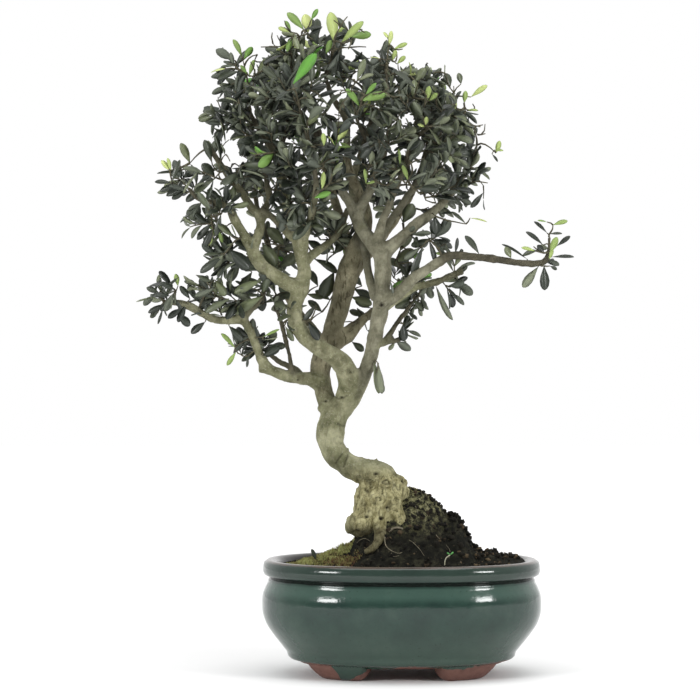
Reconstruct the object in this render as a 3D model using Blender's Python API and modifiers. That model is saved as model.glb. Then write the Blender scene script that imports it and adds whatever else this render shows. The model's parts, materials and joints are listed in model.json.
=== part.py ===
"""A small olive tree, trained over a knotty root, in an oval glazed pot.

Metres, +Z up, the view is along +Y. The shapes are laid out round the pot's centre, and the parent
empty puts the middle of the whole footprint on the origin. Routes and leaf masses are points read by
eye from the picture, each with a depth chosen by hand; sighted() turns one into a place.
"""

import math

import bmesh
import bpy
from mathutils import Matrix, Vector, noise

MM = 0.001
GAP = 0.3 * MM

# Where the picture was taken from, measured from the pot's centre
PIXEL = 0.645 * MM
PICTURE_MIDDLE = 350
CAMERA_X = -33.2 * MM
CAMERA_HEIGHT = 208.5 * MM
CAMERA_DISTANCE = 1700 * MM

# The pot's centre, from the middle of the whole footprint
POT_X = 30.4 * MM
POT_Y = -2.0 * MM

# The pot: half widths along X, with the plan a soft oval
PLAN_DEPTH = 0.77
PLAN_SQUARENESS = 2.25
RIM_TOP = 73.7 * MM
RIM_HALF = 89.2 * MM
NECK_HALF = 85.2 * MM
BELLY_HALF = 89.8 * MM
STEP_HALF = 73.7 * MM
BASE_HALF = 64.0 * MM
UNDERSIDE = 8.5 * MM
WALL = 5.5 * MM
FLOOR = 7.0 * MM
POT_STEPS = 40
FOOT_X = 43.0 * MM
FOOT_Y = 36.0 * MM
FOOT_BOTTOM = 9.4 * MM
FOOT_TOP = 21.0 * MM
FOOT_DEPTH = 0.72
DRAIN_X = 30.0 * MM
DRAIN_RADIUS = 8.0 * MM

# Mesh and wire over each drain hole
SCREEN = 26.0 * MM
SCREEN_THICK = 1.2 * MM
SCREEN_HOLES = 4
SCREEN_HOLE = 4.0 * MM
SCREEN_PITCH = SCREEN / (SCREEN_HOLES + 0.5)
WIRE_RADIUS = 0.8 * MM
WIRE_SPREAD = SCREEN_PITCH / 2
WIRE_Y = SCREEN_PITCH / 2

# Soil: its level at the edge, and its skyline in mm, along X and up from the table
SOIL_LEVEL = 69.0 * MM
RIDGE = [
    (-80, 69), (-72, 70), (-59, 72.5), (-46, 76.5), (-33, 81), (-27, 90), (-18, 103), (-6, 113), (5.6, 118),
    (13.8, 116), (24.3, 107.5), (34.8, 101.5), (42.4, 90.5), (52.9, 76.8), (66, 75.2), (80, 72.5),
]
RIDGE_Y = 6.0 * MM
RIDGE_FLAT = 7.0 * MM
MOUND_DEEP = 56.0 * MM
SOIL_RINGS = 14
LUMP_SIZE = 17.0 * MM
LUMP_HEIGHT = 3.0 * MM

# Moss, in mm from the pot's centre: the middle, then half sizes
MOSS = {
    "moss_front": ((-50, -26), (19, 12, 4)),
    "moss_left": ((-65, 3), (11, 16, 4)),
}

# A limb that starts thinner than this, in mm, is a square twig
TWIG_RADIUS = 2.9

# The wood: (picture x, picture y, depth in mm behind the pot's centre, radius in mm)
THICK_ROUTES = {
    "trunk": [
        (383, 560, -4, 13),
        (381, 545, -5, 15),
        (378, 528, -6, 17.6),
        (379, 512, -6, 17.6),
        (381, 497, -6, 16.6),
        (383, 483, -6, 14.0),
        (378, 474, -8, 10.4),
        (364, 472, -10, 8.2),
        (350, 466, -10, 7.5),
        (339, 457, -9, 7.8),
        (331.5, 445, -8, 8.4),
        (330.5, 432, -6, 8.7),
        (335, 418, -4, 9.2),
        (338, 408, -3, 8.0),
    ],
    "left_stem": [
        (335, 421, -4, 7),
        (327.5, 404, 0, 5.6),
        (323, 390, 4, 5.5),
        (319.5, 375, 7, 5.6),
        (321, 360, 9, 5.8),
        (327, 345, 10, 6),
        (333, 328, 11, 6.2),
        (340, 305, 12, 6.6),
        (347, 283, 12, 6.4),
        (353, 263, 10, 5.6),
        (360, 243, 8, 4.8),
        (366, 222, 8, 4.2),
        (362, 200, 10, 3.6),
        (352, 178, 12, 3),
        (347, 152, 14, 2.6),
        (346, 120, 14, 2.2),
        (334, 100, 12, 1.8),
        (326, 78, 8, 1.5),
        (332, 58, -4, 1.2),
    ],
    "middle_stem": [
        (338, 414, -4, 6.5),
        (346, 396, -7, 6.3),
        (350, 381, -11, 6.6),
        (346, 367, -15, 6.6),
        (336, 357, -18, 6),
        (322, 349.5, -20, 5.4),
        (308, 340, -21, 5.2),
        (298.5, 328, -21, 5.2),
        (294.5, 312, -20, 5.2),
        (297, 298, -18, 5),
        (301.5, 286, -17, 5),
        (304.5, 271, -16, 4.3),
    ],
    "right_stem": [
        (343, 412, -3, 6),
        (353, 396.5, -4, 5.6),
        (362, 380, -8, 4.9),
        (369.5, 360, -12, 4.7),
        (373.5, 343, -15, 4.8),
        (377.5, 324, -16, 5.1),
        (380.7, 305, -16, 5.5),
        (382.6, 286, -15, 4.7),
        (384.2, 267, -14, 4.7),
        (384, 252, -13, 5.2),
        (371, 242, -11, 4.6),
        (362, 229, -8, 4.5),
        (356, 216, -6, 4.4),
    ],
}
THIN_ROUTES = {
    "upright": [
        (303, 279, -16, 4.6),
        (300.5, 255, -16, 4.2),
        (297, 238, -17, 4),
        (292.5, 226, -18, 3.6),
        (288, 207, -20, 3.2),
        (284.5, 192, -22, 2.8),
        (281, 172, -24, 2.4),
        (272, 150, -26, 2),
        (264, 128, -26, 1.6),
    ],
    "left_arm": [
        (301.5, 286, -17, 4.2),
        (292, 285, -18, 4.2),
        (276, 276.5, -22, 4.2),
        (262, 266, -26, 4),
        (254.5, 255, -28, 4.2),
        (250, 245, -29, 3.6),
        (242, 232, -31, 3),
        (234.5, 219, -33, 2.8),
        (228, 207, -34, 2.4),
        (216, 203, -34, 2),
        (200, 199, -33, 1.8),
        (188, 188, -32, 1.4),
    ],
    "left_long": [
        (251, 249, -29, 3.2),
        (257.3, 238, -27, 3),
        (260.5, 225.5, -25, 2.9),
        (257.5, 214, -25, 2.7),
        (251, 207, -26, 2.5),
        (241, 192, -28, 2.4),
        (231, 179.5, -30, 2.2),
        (222, 166.5, -31, 2),
        (212, 151, -32, 1.7),
        (208, 143, -32, 1.3),
    ],
    "left_rise": [(260, 222, -25, 2.6), (266, 208, -20, 2.3), (269, 195, -18, 2.1), (262, 160, -20, 1.5)],
    "left_cross": [(297, 241, -17, 2.6), (286, 231, -20, 2.4), (274, 219, -22, 2.2), (261, 208, -26, 2)],
    "low_branch": [
        (321, 383, 4, 5),
        (309, 379, 0, 3.8),
        (295.5, 377.5, -4, 3.6),
        (282, 374.5, -8, 3.6),
        (270, 370, -11, 3.4),
        (259.5, 368.5, -13, 3),
    ],
    "low_rise": [
        (269, 370, -11, 3),
        (263.5, 362, -12, 3),
        (258.5, 352.5, -13, 2.8),
        (253.5, 339, -14, 2.8),
        (248.5, 327.5, -15, 2.6),
        (242, 319.5, -16, 2.9),
        (229.5, 320, -18, 2.9),
        (216.5, 320, -20, 2.7),
        (204, 314.5, -21, 2.4),
        (191, 307, -22, 2.6),
        (178.5, 303, -23, 2.2),
        (164, 302, -24, 1.6),
    ],
    "low_arm": [(243, 319, -16, 2.2), (249, 312, -16, 2), (262, 297, -15, 1.6), (265.5, 286.5, -14, 1.4)],
    "low_shoot": [(290.5, 377, -5, 1.9), (291, 364, -8, 1.6), (283, 329, -14, 1.5), (277, 310, -14, 1.3)],
    "low_back": [(303, 378.5, -2, 2.4), (296, 370, 8, 2), (280, 362, 14, 1.8), (264, 350, 16, 1.5)],
    "right_fork": [
        (358, 220, -6, 4.2),
        (350, 203, -8, 3.4),
        (342, 190, -14, 2.9),
        (334, 172, -22, 2.4),
        (326, 150, -28, 2),
        (318, 128, -30, 1.6),
    ],
    "right_fork_front": [
        (357, 218, -7, 3.4),
        (364, 201, -10, 3),
        (372, 186, -16, 2.6),
        (380, 168, -22, 2.2),
        (386, 146, -26, 1.8),
        (390, 120, -26, 1.4),
    ],
    "right_fork_back": [
        (362, 229, -8, 3),
        (356, 205, 16, 2.8),
        (352, 184, 28, 2.4),
        (362, 150, 34, 2),
        (372, 115, 34, 1.6),
        (370, 85, 30, 1.3),
    ],
    "twin_near": [
        (377, 246, -13, 3.2),
        (379, 233, -14, 2.8),
        (382.5, 221, -15, 2.6),
        (388, 209, -17, 2.4),
        (392, 198, -19, 2.2),
        (400, 178, -24, 2),
        (408, 155, -28, 1.7),
        (414, 130, -28, 1.4),
    ],
    "twin_far": [
        (378, 241, -13, 2.6),
        (388, 224, -8, 2.5),
        (397, 212, -5, 2.4),
        (405, 200, -3, 2.3),
        (418, 182, 0, 2),
        (430, 160, 2, 1.7),
        (440, 136, 2, 1.4),
    ],
    "right_arm": [
        (384, 253, -13, 4.4),
        (391, 246, -12, 3.9),
        (403, 236.5, -10, 3.8),
        (414.5, 226, -8, 3.6),
        (425, 218, -6, 3.2),
        (436, 209.5, -4, 2.9),
        (447, 198, -2, 2.4),
        (459, 182, 0, 2),
        (470, 165, 0, 1.6),
        (477, 145, -2, 1.3),
    ],
    "long_branch": [
        (381, 302, -15, 4.2),
        (391, 297.5, -18, 3.8),
        (403, 289, -20, 3.7),
        (414.5, 277.5, -21, 3.5),
        (426, 270, -22, 3.2),
        (437, 263, -23, 3),
        (447, 257, -24, 2.9),
        (457, 255.5, -25, 2.6),
        (491, 258.5, -27, 2.4),
        (514, 262, -28, 2.3),
        (533, 263.5, -29, 2.1),
        (545, 261, -29, 1.8),
        (549, 250, -29, 1.3),
        (549, 237, -29, 1.2),
    ],
    "cut_stub": [
        (382, 306, -13, 3.6),
        (396, 298, -8, 3.4),
        (407, 291, -6, 3.2),
        (418.5, 286, -5, 2.8),
        (433.5, 283, -5, 2.4),
        (463, 271, -5, 2.3),
    ],
    "thin_low": [(376, 344, -14, 2.2), (387, 342, -10, 2), (399, 339.5, -6, 1.7), (405, 331, -5, 1.3)],
    "thin_rise": [(385, 342, -11, 1.9), (397, 323, -4, 1.7), (405, 312.5, -2, 1.5), (416, 297, 6, 1.3)],
    "far_right": [
        (331, 346, 10, 4),
        (349, 337, 14, 3),
        (359, 325, 18, 2.8),
        (369, 314.5, 22, 2.6),
        (382, 306, 26, 2.4),
        (396, 296, 28, 2),
        (410, 284, 30, 1.6),
    ],
    "far_left": [
        (324, 347, 10, 4),
        (312, 330, 24, 3.6),
        (296, 310, 36, 3.2),
        (282, 285, 44, 2.8),
        (272, 258, 48, 2.4),
        (264, 230, 50, 2),
        (256, 200, 50, 1.6),
    ],
    "far_rise": [
        (347, 283, 12, 4),
        (362, 262, 26, 3.6),
        (380, 240, 38, 3.2),
        (398, 215, 46, 2.8),
        (414, 188, 50, 2.4),
        (424, 160, 50, 2),
        (430, 130, 46, 1.6),
    ],
    "far_crown": [
        (353, 263, 10, 3.6),
        (346, 235, 26, 3.2),
        (336, 205, 38, 2.8),
        (326, 172, 46, 2.4),
        (318, 140, 48, 2),
        (312, 108, 44, 1.6),
    ],
    "near_crown": [
        (300.5, 252, -16, 3.6),
        (306, 232, -28, 2.8),
        (312, 212, -38, 2.4),
        (316, 190, -46, 2),
        (314, 165, -50, 1.6),
        (306, 130, -48, 1.3),
    ],
    "mid_cross": [
        (302, 264, -16, 3.4),
        (312, 255, -8, 2.8),
        (325, 246, 0, 2.6),
        (338, 233, 6, 2.4),
        (348, 208, 12, 2),
    ],
    "top_left": [(281, 172, -24, 2), (266, 142, -14, 1.7), (250, 112, -4, 1.5), (248, 86, -2, 1.3)],
    "top_middle": [(277, 162, -25, 1.8), (286, 130, -20, 1.6), (290, 96, -15, 1.4), (292, 64, -12, 1.2)],
    "top_front": [(380, 170, -22, 1.8), (366, 140, -34, 1.6), (356, 118, -42, 1.3)],
    "top_right": [(389, 124, -26, 1.6), (388, 95, -20, 1.4), (386, 74, -12, 1.2)],
    "far_side": [(256, 202, 50, 1.8), (256, 170, 46, 1.6), (256, 140, 38, 1.3)],
    "far_top_left": [(316, 134, 47, 1.8), (300, 112, 40, 1.6), (284, 92, 32, 1.3)],
    "far_top_right": [(439, 138, 2, 1.6), (434, 115, 2, 1.4), (428, 94, 2, 1.2)],
    "near_side": [(412, 140, -28, 1.6), (428, 128, -26, 1.4), (444, 118, -22, 1.2)],
    "short_root": [
        (382, 522, -14, 5),
        (380, 532, -21, 4.6),
        (376, 542, -27, 4),
        (370, 550, -32, 3),
        (364, 558, -35, 2),
    ],
    "side_root": [(396, 520, -14, 4), (404, 530, -20, 3.2), (416, 541, -25, 2.6), (430, 553, -28, 2)],
}

# Leaf masses: (picture x, picture y, depth in mm) of the middle, then half sizes in mm
LEAF_MASSES = {
    "front": [
        ((262, 112, -30), (27, 27, 26)),
        ((306, 100, -46), (27, 26, 27)),
        ((352, 104, -46), (27, 27, 27)),
        ((400, 106, -38), (27, 27, 27)),
        ((446, 116, -22), (25, 27, 26)),
        ((276, 158, -44), (27, 26, 25)),
        ((328, 158, -50), (27, 26, 26)),
        ((382, 160, -46), (27, 26, 26)),
        ((432, 168, -34), (25, 26, 26)),
    ],
    "top": [
        ((252, 72, -2), (24, 27, 20)),
        ((292, 50, -12), (26, 27, 22)),
        ((338, 42, -10), (26, 27, 21)),
        ((384, 62, -10), (26, 27, 21)),
        ((426, 88, 2), (25, 27, 21)),
        ((330, 62, 30), (27, 26, 24)),
        ((280, 84, 30), (26, 25, 24)),
        ((384, 86, 34), (27, 25, 24)),
    ],
    "side": [
        ((226, 112, 2), (21, 26, 25)),
        ((470, 130, 2), (18, 24, 25)),
        ((468, 172, 2), (20, 24, 24)),
    ],
    "back": [
        ((256, 132, 36), (26, 26, 27)),
        ((308, 118, 50), (27, 26, 27)),
        ((362, 128, 52), (27, 26, 27)),
        ((410, 126, 50), (26, 26, 26)),
        ((446, 146, 34), (22, 25, 26)),
        ((266, 184, 48), (26, 26, 26)),
        ((326, 172, 54), (26, 26, 26)),
        ((378, 178, 50), (26, 26, 26)),
        ((428, 184, 42), (24, 26, 26)),
    ],
    "left": [
        ((182, 176, -32), (18, 22, 19)),
        ((222, 168, -28), (22, 24, 22)),
        ((214, 212, -32), (23, 23, 20)),
        ((230, 250, -24), (18, 22, 16)),
        ((166, 300, -23), (20.5, 21, 14)),
        ((216, 298, -18), (22, 22, 16)),
        ((260, 290, -8), (18, 20, 18)),
        ((248, 346, 2), (17, 22, 14)),
        ((284, 312, -16), (14, 18, 18)),
    ],
    "right": [
        ((432, 250, -8), (22, 23, 16)),
        ((548, 248, -29), (17.5, 20, 19)),
        ((412, 298, 4), (16, 20, 16)),
        ((446, 284, -10), (15, 18, 14)),
        ((404, 331, -5), (13, 16, 11)),
    ],
    "inner": [
        ((330, 236, 18), (20, 20, 16)),
        ((408, 282, 32), (18, 17, 15)),
        ((272, 250, 44), (20, 20, 20)),
        ((300, 212, -30), (21, 19, 18)),
    ],
}
LEAF_LUMPS = 0.10

# Colour, roughness and metallic value of each finish
FINISHES = {
    "glaze": ((0.030, 0.085, 0.080), 0.18, 0.0),
    "soil": ((0.030, 0.022, 0.016), 0.95, 0.0),
    "moss": ((0.140, 0.150, 0.035), 0.95, 0.0),
    "bark": ((0.300, 0.280, 0.200), 0.80, 0.0),
    "foliage": ((0.030, 0.045, 0.028), 0.50, 0.0),
    "plastic_mesh": ((0.020, 0.020, 0.020), 0.60, 0.0),
    "wire": ((0.450, 0.440, 0.420), 0.35, 1.0),
}


def clear_scene():
    for obj in list(bpy.data.objects):
        bpy.data.objects.remove(obj, do_unlink=True)


def new_collection(name):
    collection = bpy.data.collections.new(name)
    bpy.context.scene.collection.children.link(collection)
    return collection


def finish(name):
    """The Principled material of one finish, made once."""
    found = bpy.data.materials.get(name)
    if found:
        return found
    colour, roughness, metallic = FINISHES[name]
    material = bpy.data.materials.new(name)
    material.use_nodes = True
    shader = material.node_tree.nodes["Principled BSDF"]
    shader.inputs["Base Color"].default_value = (*colour, 1)
    shader.inputs["Roughness"].default_value = roughness
    shader.inputs["Metallic"].default_value = metallic
    return material


def add(name, mesh, collection, material=None):
    obj = bpy.data.objects.new(name, mesh)
    collection.objects.link(obj)
    if material:
        mesh.materials.clear()
        mesh.materials.append(finish(material))
    else:
        obj.hide_render = True
        obj.display_type = "WIRE"
    return obj


def mesh_of(obj, weld=0.01 * MM):
    """The evaluated mesh of an object, its loose seams welded; the object itself is removed."""
    graph = bpy.context.evaluated_depsgraph_get()
    mesh = bpy.data.meshes.new_from_object(obj.evaluated_get(graph))
    shape = bmesh.new()
    shape.from_mesh(mesh)
    bmesh.ops.remove_doubles(shape, verts=shape.verts, dist=weld)
    shape.to_mesh(mesh)
    shape.free()
    bpy.data.objects.remove(obj, do_unlink=True)
    return mesh


def boolean(obj, other, operation):
    modifier = obj.modifiers.new(operation.title(), "BOOLEAN")
    modifier.operation = operation
    modifier.solver = "EXACT"
    modifier.object = other


def sighted(px, py, depth):
    """The place of a picture point that lies this many millimetres behind the pot's centre."""
    pixel = PIXEL * (1 + depth * MM / CAMERA_DISTANCE)
    x = CAMERA_X + (px - PICTURE_MIDDLE) * pixel
    z = CAMERA_HEIGHT - (py - PICTURE_MIDDLE) * pixel
    return Vector((x, depth * MM, z))


def turned(profile, steps):
    """A closed turned mesh from a profile that runs down its outer side, from axis to axis."""
    line = bpy.data.meshes.new("profile")
    edges = [(i, i + 1) for i in range(len(profile) - 1)]
    line.from_pydata([(radius, 0, z) for radius, z in profile], edges, [])
    guide = bpy.data.objects.new("profile", line)
    bpy.context.scene.collection.objects.link(guide)
    screw = guide.modifiers.new("Screw", "SCREW")
    screw.steps = screw.render_steps = steps
    screw.use_merge_vertices = True
    screw.merge_threshold = 0.0001
    return mesh_of(guide, 0.05 * MM)


def to_oval(mesh):
    """Turns the round plan of a turned mesh into the pot's soft oval."""
    for vertex in mesh.vertices:
        radius = math.hypot(vertex.co.x, vertex.co.y)
        if radius < 1e-6:
            continue
        c, s = vertex.co.x / radius, vertex.co.y / radius
        stretch = (abs(c) ** PLAN_SQUARENESS + abs(s) ** PLAN_SQUARENESS) ** (-1 / PLAN_SQUARENESS)
        vertex.co.x = radius * c * stretch
        vertex.co.y = radius * s * stretch * PLAN_DEPTH
    return mesh


def outer_profile():
    return [
        (0, RIM_TOP),
        (RIM_HALF - 2.6 * MM, RIM_TOP),
        (RIM_HALF - 0.7 * MM, RIM_TOP - 1.0 * MM),
        (RIM_HALF, RIM_TOP - 3.2 * MM),
        (RIM_HALF, RIM_TOP - 8.0 * MM),
        (RIM_HALF - 0.9 * MM, RIM_TOP - 10.2 * MM),
        (NECK_HALF, RIM_TOP - 11.4 * MM),
        (NECK_HALF, RIM_TOP - 13.4 * MM),
        (NECK_HALF + 2.4 * MM, RIM_TOP - 17.0 * MM),
        (BELLY_HALF - 0.9 * MM, RIM_TOP - 21.5 * MM),
        (BELLY_HALF, RIM_TOP - 29.5 * MM),
        (BELLY_HALF - 1.8 * MM, RIM_TOP - 39.0 * MM),
        (BELLY_HALF - 7.2 * MM, RIM_TOP - 47.4 * MM),
        (STEP_HALF + 1.8 * MM, UNDERSIDE + 9.2 * MM),
        (STEP_HALF, UNDERSIDE + 6.4 * MM),
        (STEP_HALF - 1.6 * MM, UNDERSIDE + 4.0 * MM),
        (BASE_HALF + 3.4 * MM, UNDERSIDE + 0.9 * MM),
        (BASE_HALF, UNDERSIDE),
        (0, UNDERSIDE),
    ]


def inner_profile(shrink=0.0):
    """The pot's hollow, which the soil fills with a small shrink."""
    top = RIM_TOP + 4 * MM
    floor = UNDERSIDE + FLOOR + shrink
    return [
        (0, top),
        (RIM_HALF - WALL - shrink, top),
        (RIM_HALF - WALL - shrink, RIM_TOP - 4 * MM),
        (NECK_HALF - WALL - shrink, RIM_TOP - 13 * MM),
        (BELLY_HALF - WALL - shrink, RIM_TOP - 28 * MM),
        (BELLY_HALF - WALL - 3.4 * MM - shrink, RIM_TOP - 40 * MM),
        (STEP_HALF - 3.0 * MM - shrink, floor + 4.5 * MM),
        (STEP_HALF - 10 * MM - shrink, floor),
        (0, floor),
    ]


def drain_sides():
    return {"left": -DRAIN_X, "right": DRAIN_X}


def cylinder(name, radius, low, high, x, collection):
    shape = bmesh.new()
    bmesh.ops.create_cone(
        shape, cap_ends=True, segments=24, radius1=radius, radius2=radius, depth=high - low
    )
    bmesh.ops.translate(shape, verts=shape.verts, vec=(x, 0, (high + low) / 2))
    mesh = bpy.data.meshes.new(name)
    shape.to_mesh(mesh)
    shape.free()
    return add(name, mesh, collection)


def foot_mesh():
    profile = [
        (0, FOOT_TOP),
        (19.5 * MM, FOOT_TOP),
        (18.0 * MM, UNDERSIDE + 3 * MM),
        (14.6 * MM, UNDERSIDE - 3.0 * MM),
        (11.4 * MM, UNDERSIDE - 6.4 * MM),
        (FOOT_BOTTOM, 0.4 * MM),
        (FOOT_BOTTOM - 0.6 * MM, 0),
        (0, 0),
    ]
    return turned(profile, 20)


def pot(parts, cutters):
    """One fired piece: oval bowl, rolled rim, four feet and two drain holes."""
    body = add("pot", to_oval(turned(outer_profile(), POT_STEPS)), parts, "glaze")
    for number, (side, end) in enumerate([(-1, -1), (1, -1), (-1, 1), (1, 1)], 1):
        mesh = foot_mesh()
        for vertex in mesh.vertices:
            vertex.co.x += side * FOOT_X
            vertex.co.y = vertex.co.y * FOOT_DEPTH + end * FOOT_Y
        boolean(body, add(f"foot_{number}", mesh, cutters), "UNION")
    hollow = add("hollow", to_oval(turned(inner_profile(), POT_STEPS)), cutters)
    boolean(body, hollow, "DIFFERENCE")
    for side, x in drain_sides().items():
        hole = cylinder(f"drain_{side}", DRAIN_RADIUS, 0, UNDERSIDE + FLOOR + 5 * MM, x, cutters)
        boolean(body, hole, "DIFFERENCE")
    mesh = mesh_of(body)
    mesh.shade_smooth()
    mesh.set_sharp_from_angle(angle=math.radians(40))
    return add("pot", mesh, parts, "glaze")


def box_mesh(name, size, centre):
    shape = bmesh.new()
    bmesh.ops.create_cube(shape, size=1)
    bmesh.ops.scale(shape, verts=shape.verts, vec=size)
    bmesh.ops.translate(shape, verts=shape.verts, vec=centre)
    mesh = bpy.data.meshes.new(name)
    shape.to_mesh(mesh)
    shape.free()
    return mesh


def drain_screen(side, x, parts, cutters):
    """A square of plastic mesh that keeps the soil in over one drain hole."""
    low = UNDERSIDE + FLOOR + GAP
    centre = Vector((x, 0, low + SCREEN_THICK / 2))
    name = f"drain_mesh_{side}"
    plate = add(name, box_mesh(name, (SCREEN, SCREEN, SCREEN_THICK), centre), parts, "plastic_mesh")
    holes = bmesh.new()
    middle = (SCREEN_HOLES - 1) / 2
    for row in range(SCREEN_HOLES):
        for column in range(SCREEN_HOLES):
            made = bmesh.ops.create_cube(holes, size=1)["verts"]
            bmesh.ops.scale(holes, verts=made, vec=(SCREEN_HOLE, SCREEN_HOLE, 4 * SCREEN_THICK))
            shift = Vector((column - middle, row - middle, 0)) * SCREEN_PITCH
            bmesh.ops.translate(holes, verts=made, vec=centre + shift)
    mesh = bpy.data.meshes.new(f"screen_holes_{side}")
    holes.to_mesh(mesh)
    holes.free()
    boolean(plate, add(mesh.name, mesh, cutters), "DIFFERENCE")


def tube(name, points, radii, sides=2):
    """A welded tube through the points, with a radius at each."""
    curve = bpy.data.curves.new(name, "CURVE")
    curve.dimensions = "3D"
    curve.bevel_depth = 1.0
    curve.bevel_resolution = sides
    curve.use_fill_caps = True
    spline = curve.splines.new("POLY")
    spline.points.add(len(points) - 1)
    for point, place, radius in zip(spline.points, points, radii):
        point.co = (*place, 1)
        point.radius = radius
    obj = bpy.data.objects.new(name, curve)
    bpy.context.scene.collection.objects.link(obj)
    return mesh_of(obj)


def mesh_wire(side, x, parts):
    """A bent wire that pins the plastic mesh down through the drain hole."""
    high = UNDERSIDE + FLOOR + SCREEN_THICK + 2 * GAP + WIRE_RADIUS
    low = UNDERSIDE - GAP - WIRE_RADIUS
    out = DRAIN_RADIUS + 3 * MM
    half_route = [
        (out, low),
        (WIRE_SPREAD + 1.5 * MM, low),
        (WIRE_SPREAD, low + 1.5 * MM),
        (WIRE_SPREAD, high - 0.5 * MM),
        (WIRE_SPREAD - 0.5 * MM, high),
    ]
    route = [Vector((x - away, WIRE_Y, z)) for away, z in half_route]
    route += [Vector((x + away, WIRE_Y, z)) for away, z in reversed(half_route)]
    name = f"mesh_wire_{side}"
    mesh = tube(name, route, [WIRE_RADIUS] * len(route))
    mesh.shade_smooth()
    return add(name, mesh, parts, "wire")


def skyline(x):
    """How high the soil's ridge stands at this place along X."""
    for (low_x, low_z), (high_x, high_z) in zip(RIDGE[:-1], RIDGE[1:]):
        if x <= high_x * MM:
            return (low_z + (high_z - low_z) * (x / MM - low_x) / (high_x - low_x)) * MM
    return SOIL_LEVEL


def mound(x, y):
    """How far the soil rises above its level, highest along the ridge behind the root's front."""
    away = max(0.0, abs(y - RIDGE_Y) - RIDGE_FLAT) / (MOUND_DEEP - RIDGE_FLAT)
    return (skyline(x) - SOIL_LEVEL) * (0.5 + 0.5 * math.cos(math.pi * min(away, 1)))


def soil_mesh():
    """The hollow's lower part, with its top raised into the mound."""
    edge = NECK_HALF - WALL - GAP
    profile = [(edge * step / SOIL_RINGS, SOIL_LEVEL) for step in range(SOIL_RINGS + 1)]
    profile += inner_profile(GAP)[3:]
    mesh = to_oval(turned(profile, POT_STEPS))
    for vertex in mesh.vertices:
        if vertex.co.z > SOIL_LEVEL - 0.1 * MM:
            rise = mound(vertex.co.x, vertex.co.y)
            share = min(1.0, rise / (4 * LUMP_HEIGHT))
            vertex.co.z += rise + noise.noise(vertex.co / LUMP_SIZE) * share * LUMP_HEIGHT
    return mesh


def soil(parts, cutters, wood_cutter):
    body = add("soil", soil_mesh(), parts, "soil")
    boolean(body, wood_cutter, "DIFFERENCE")
    low = UNDERSIDE + FLOOR - 1 * MM
    high = UNDERSIDE + FLOOR + SCREEN_THICK + 4 * GAP + 2 * WIRE_RADIUS
    size = (SCREEN + 1 * MM, SCREEN + 1 * MM, high - low)
    for side, x in drain_sides().items():
        name = f"mesh_pocket_{side}"
        mesh = box_mesh(name, size, (x, 0, (low + high) / 2))
        boolean(body, add(name, mesh, cutters), "DIFFERENCE")
    return keep_largest(body, parts, "soil")


def islands(shape):
    """The separate bodies of a bmesh, as lists of vertices."""
    left = set(shape.verts)
    while left:
        seed = left.pop()
        body, edge = [seed], [seed]
        while edge:
            for link in edge.pop().link_edges:
                for vertex in link.verts:
                    if vertex in left:
                        left.discard(vertex)
                        body.append(vertex)
                        edge.append(vertex)
        yield body


def keep_largest(obj, collection, material, weld=0.02 * MM):
    """Applies the object's Booleans and drops the crumbs that they left."""
    name = obj.name
    mesh = mesh_of(obj, weld)
    shape = bmesh.new()
    shape.from_mesh(mesh)
    bodies = sorted(islands(shape), key=lambda body: (len(body), body[0].co.z))
    for body in bodies[:-1]:
        bmesh.ops.delete(shape, geom=body, context="VERTS")
    bmesh.ops.dissolve_degenerate(shape, edges=shape.edges, dist=0.01 * MM)
    bmesh.ops.triangulate(shape, faces=shape.faces)
    shape.to_mesh(mesh)
    shape.free()
    return add(name, mesh, collection, material)


def moss(name, parts, cutters):
    """A low cushion of moss that lies on the soil."""
    (x, y), (half_x, half_y, height) = MOSS[name]
    shape = bmesh.new()
    bmesh.ops.create_uvsphere(shape, u_segments=18, v_segments=10, radius=1)
    bmesh.ops.scale(shape, verts=shape.verts, vec=(half_x * MM, half_y * MM, height * MM))
    height_here = SOIL_LEVEL + mound(x * MM, y * MM)
    bmesh.ops.translate(shape, verts=shape.verts, vec=(x * MM, y * MM, height_here))
    mesh = bpy.data.meshes.new(name)
    shape.to_mesh(mesh)
    shape.free()
    body = add(name, mesh, parts, "moss")
    boolean(body, cutters.objects["soil_clearance"], "DIFFERENCE")
    return keep_largest(body, parts, "moss")


def route_mesh(name, route, sides, swell):
    """One limb's tube, grown by swell all round and past its tip."""
    points = [sighted(px, py, depth) for px, py, depth, _ in route]
    radii = [radius * MM + swell for *_, radius in route]
    tip = (points[-1] - points[-2]).normalized()
    points[-1] = points[-1] + tip * swell
    return tube(name, points, radii, sides)


def wood(name, collection, cutters, material, swell=0.0):
    """Root, trunk, branches and roots, grown together as one piece."""
    bodies = []
    for key, route in {**THICK_ROUTES, **THIN_ROUTES}.items():
        target = collection if not bodies else cutters
        sides = 2 if key in THICK_ROUTES else int(route[0][3] > TWIG_RADIUS)
        mesh = route_mesh(f"{name}_{key}", route, sides, swell)
        bodies.append(add(f"{name}_{key}", mesh, target))
    for other in bodies[1:]:
        boolean(bodies[0], other, "UNION")
    bodies[0].name = name
    whole = keep_largest(bodies[0], collection, material)
    for other in bodies[1:]:
        bpy.data.objects.remove(other, do_unlink=True)
    return whole


def half_width(radii, direction):
    return 1 / math.sqrt(sum((d / r) ** 2 for d, r in zip(direction, radii)))


def leaf_places():
    """Each leaf mass by name: its middle and half sizes."""
    places = {}
    for group, masses in LEAF_MASSES.items():
        for number, (middle, half) in enumerate(masses, 1):
            places[f"leaves_{group}_{number}"] = (sighted(*middle), Vector(half) * MM)
    return places


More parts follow.
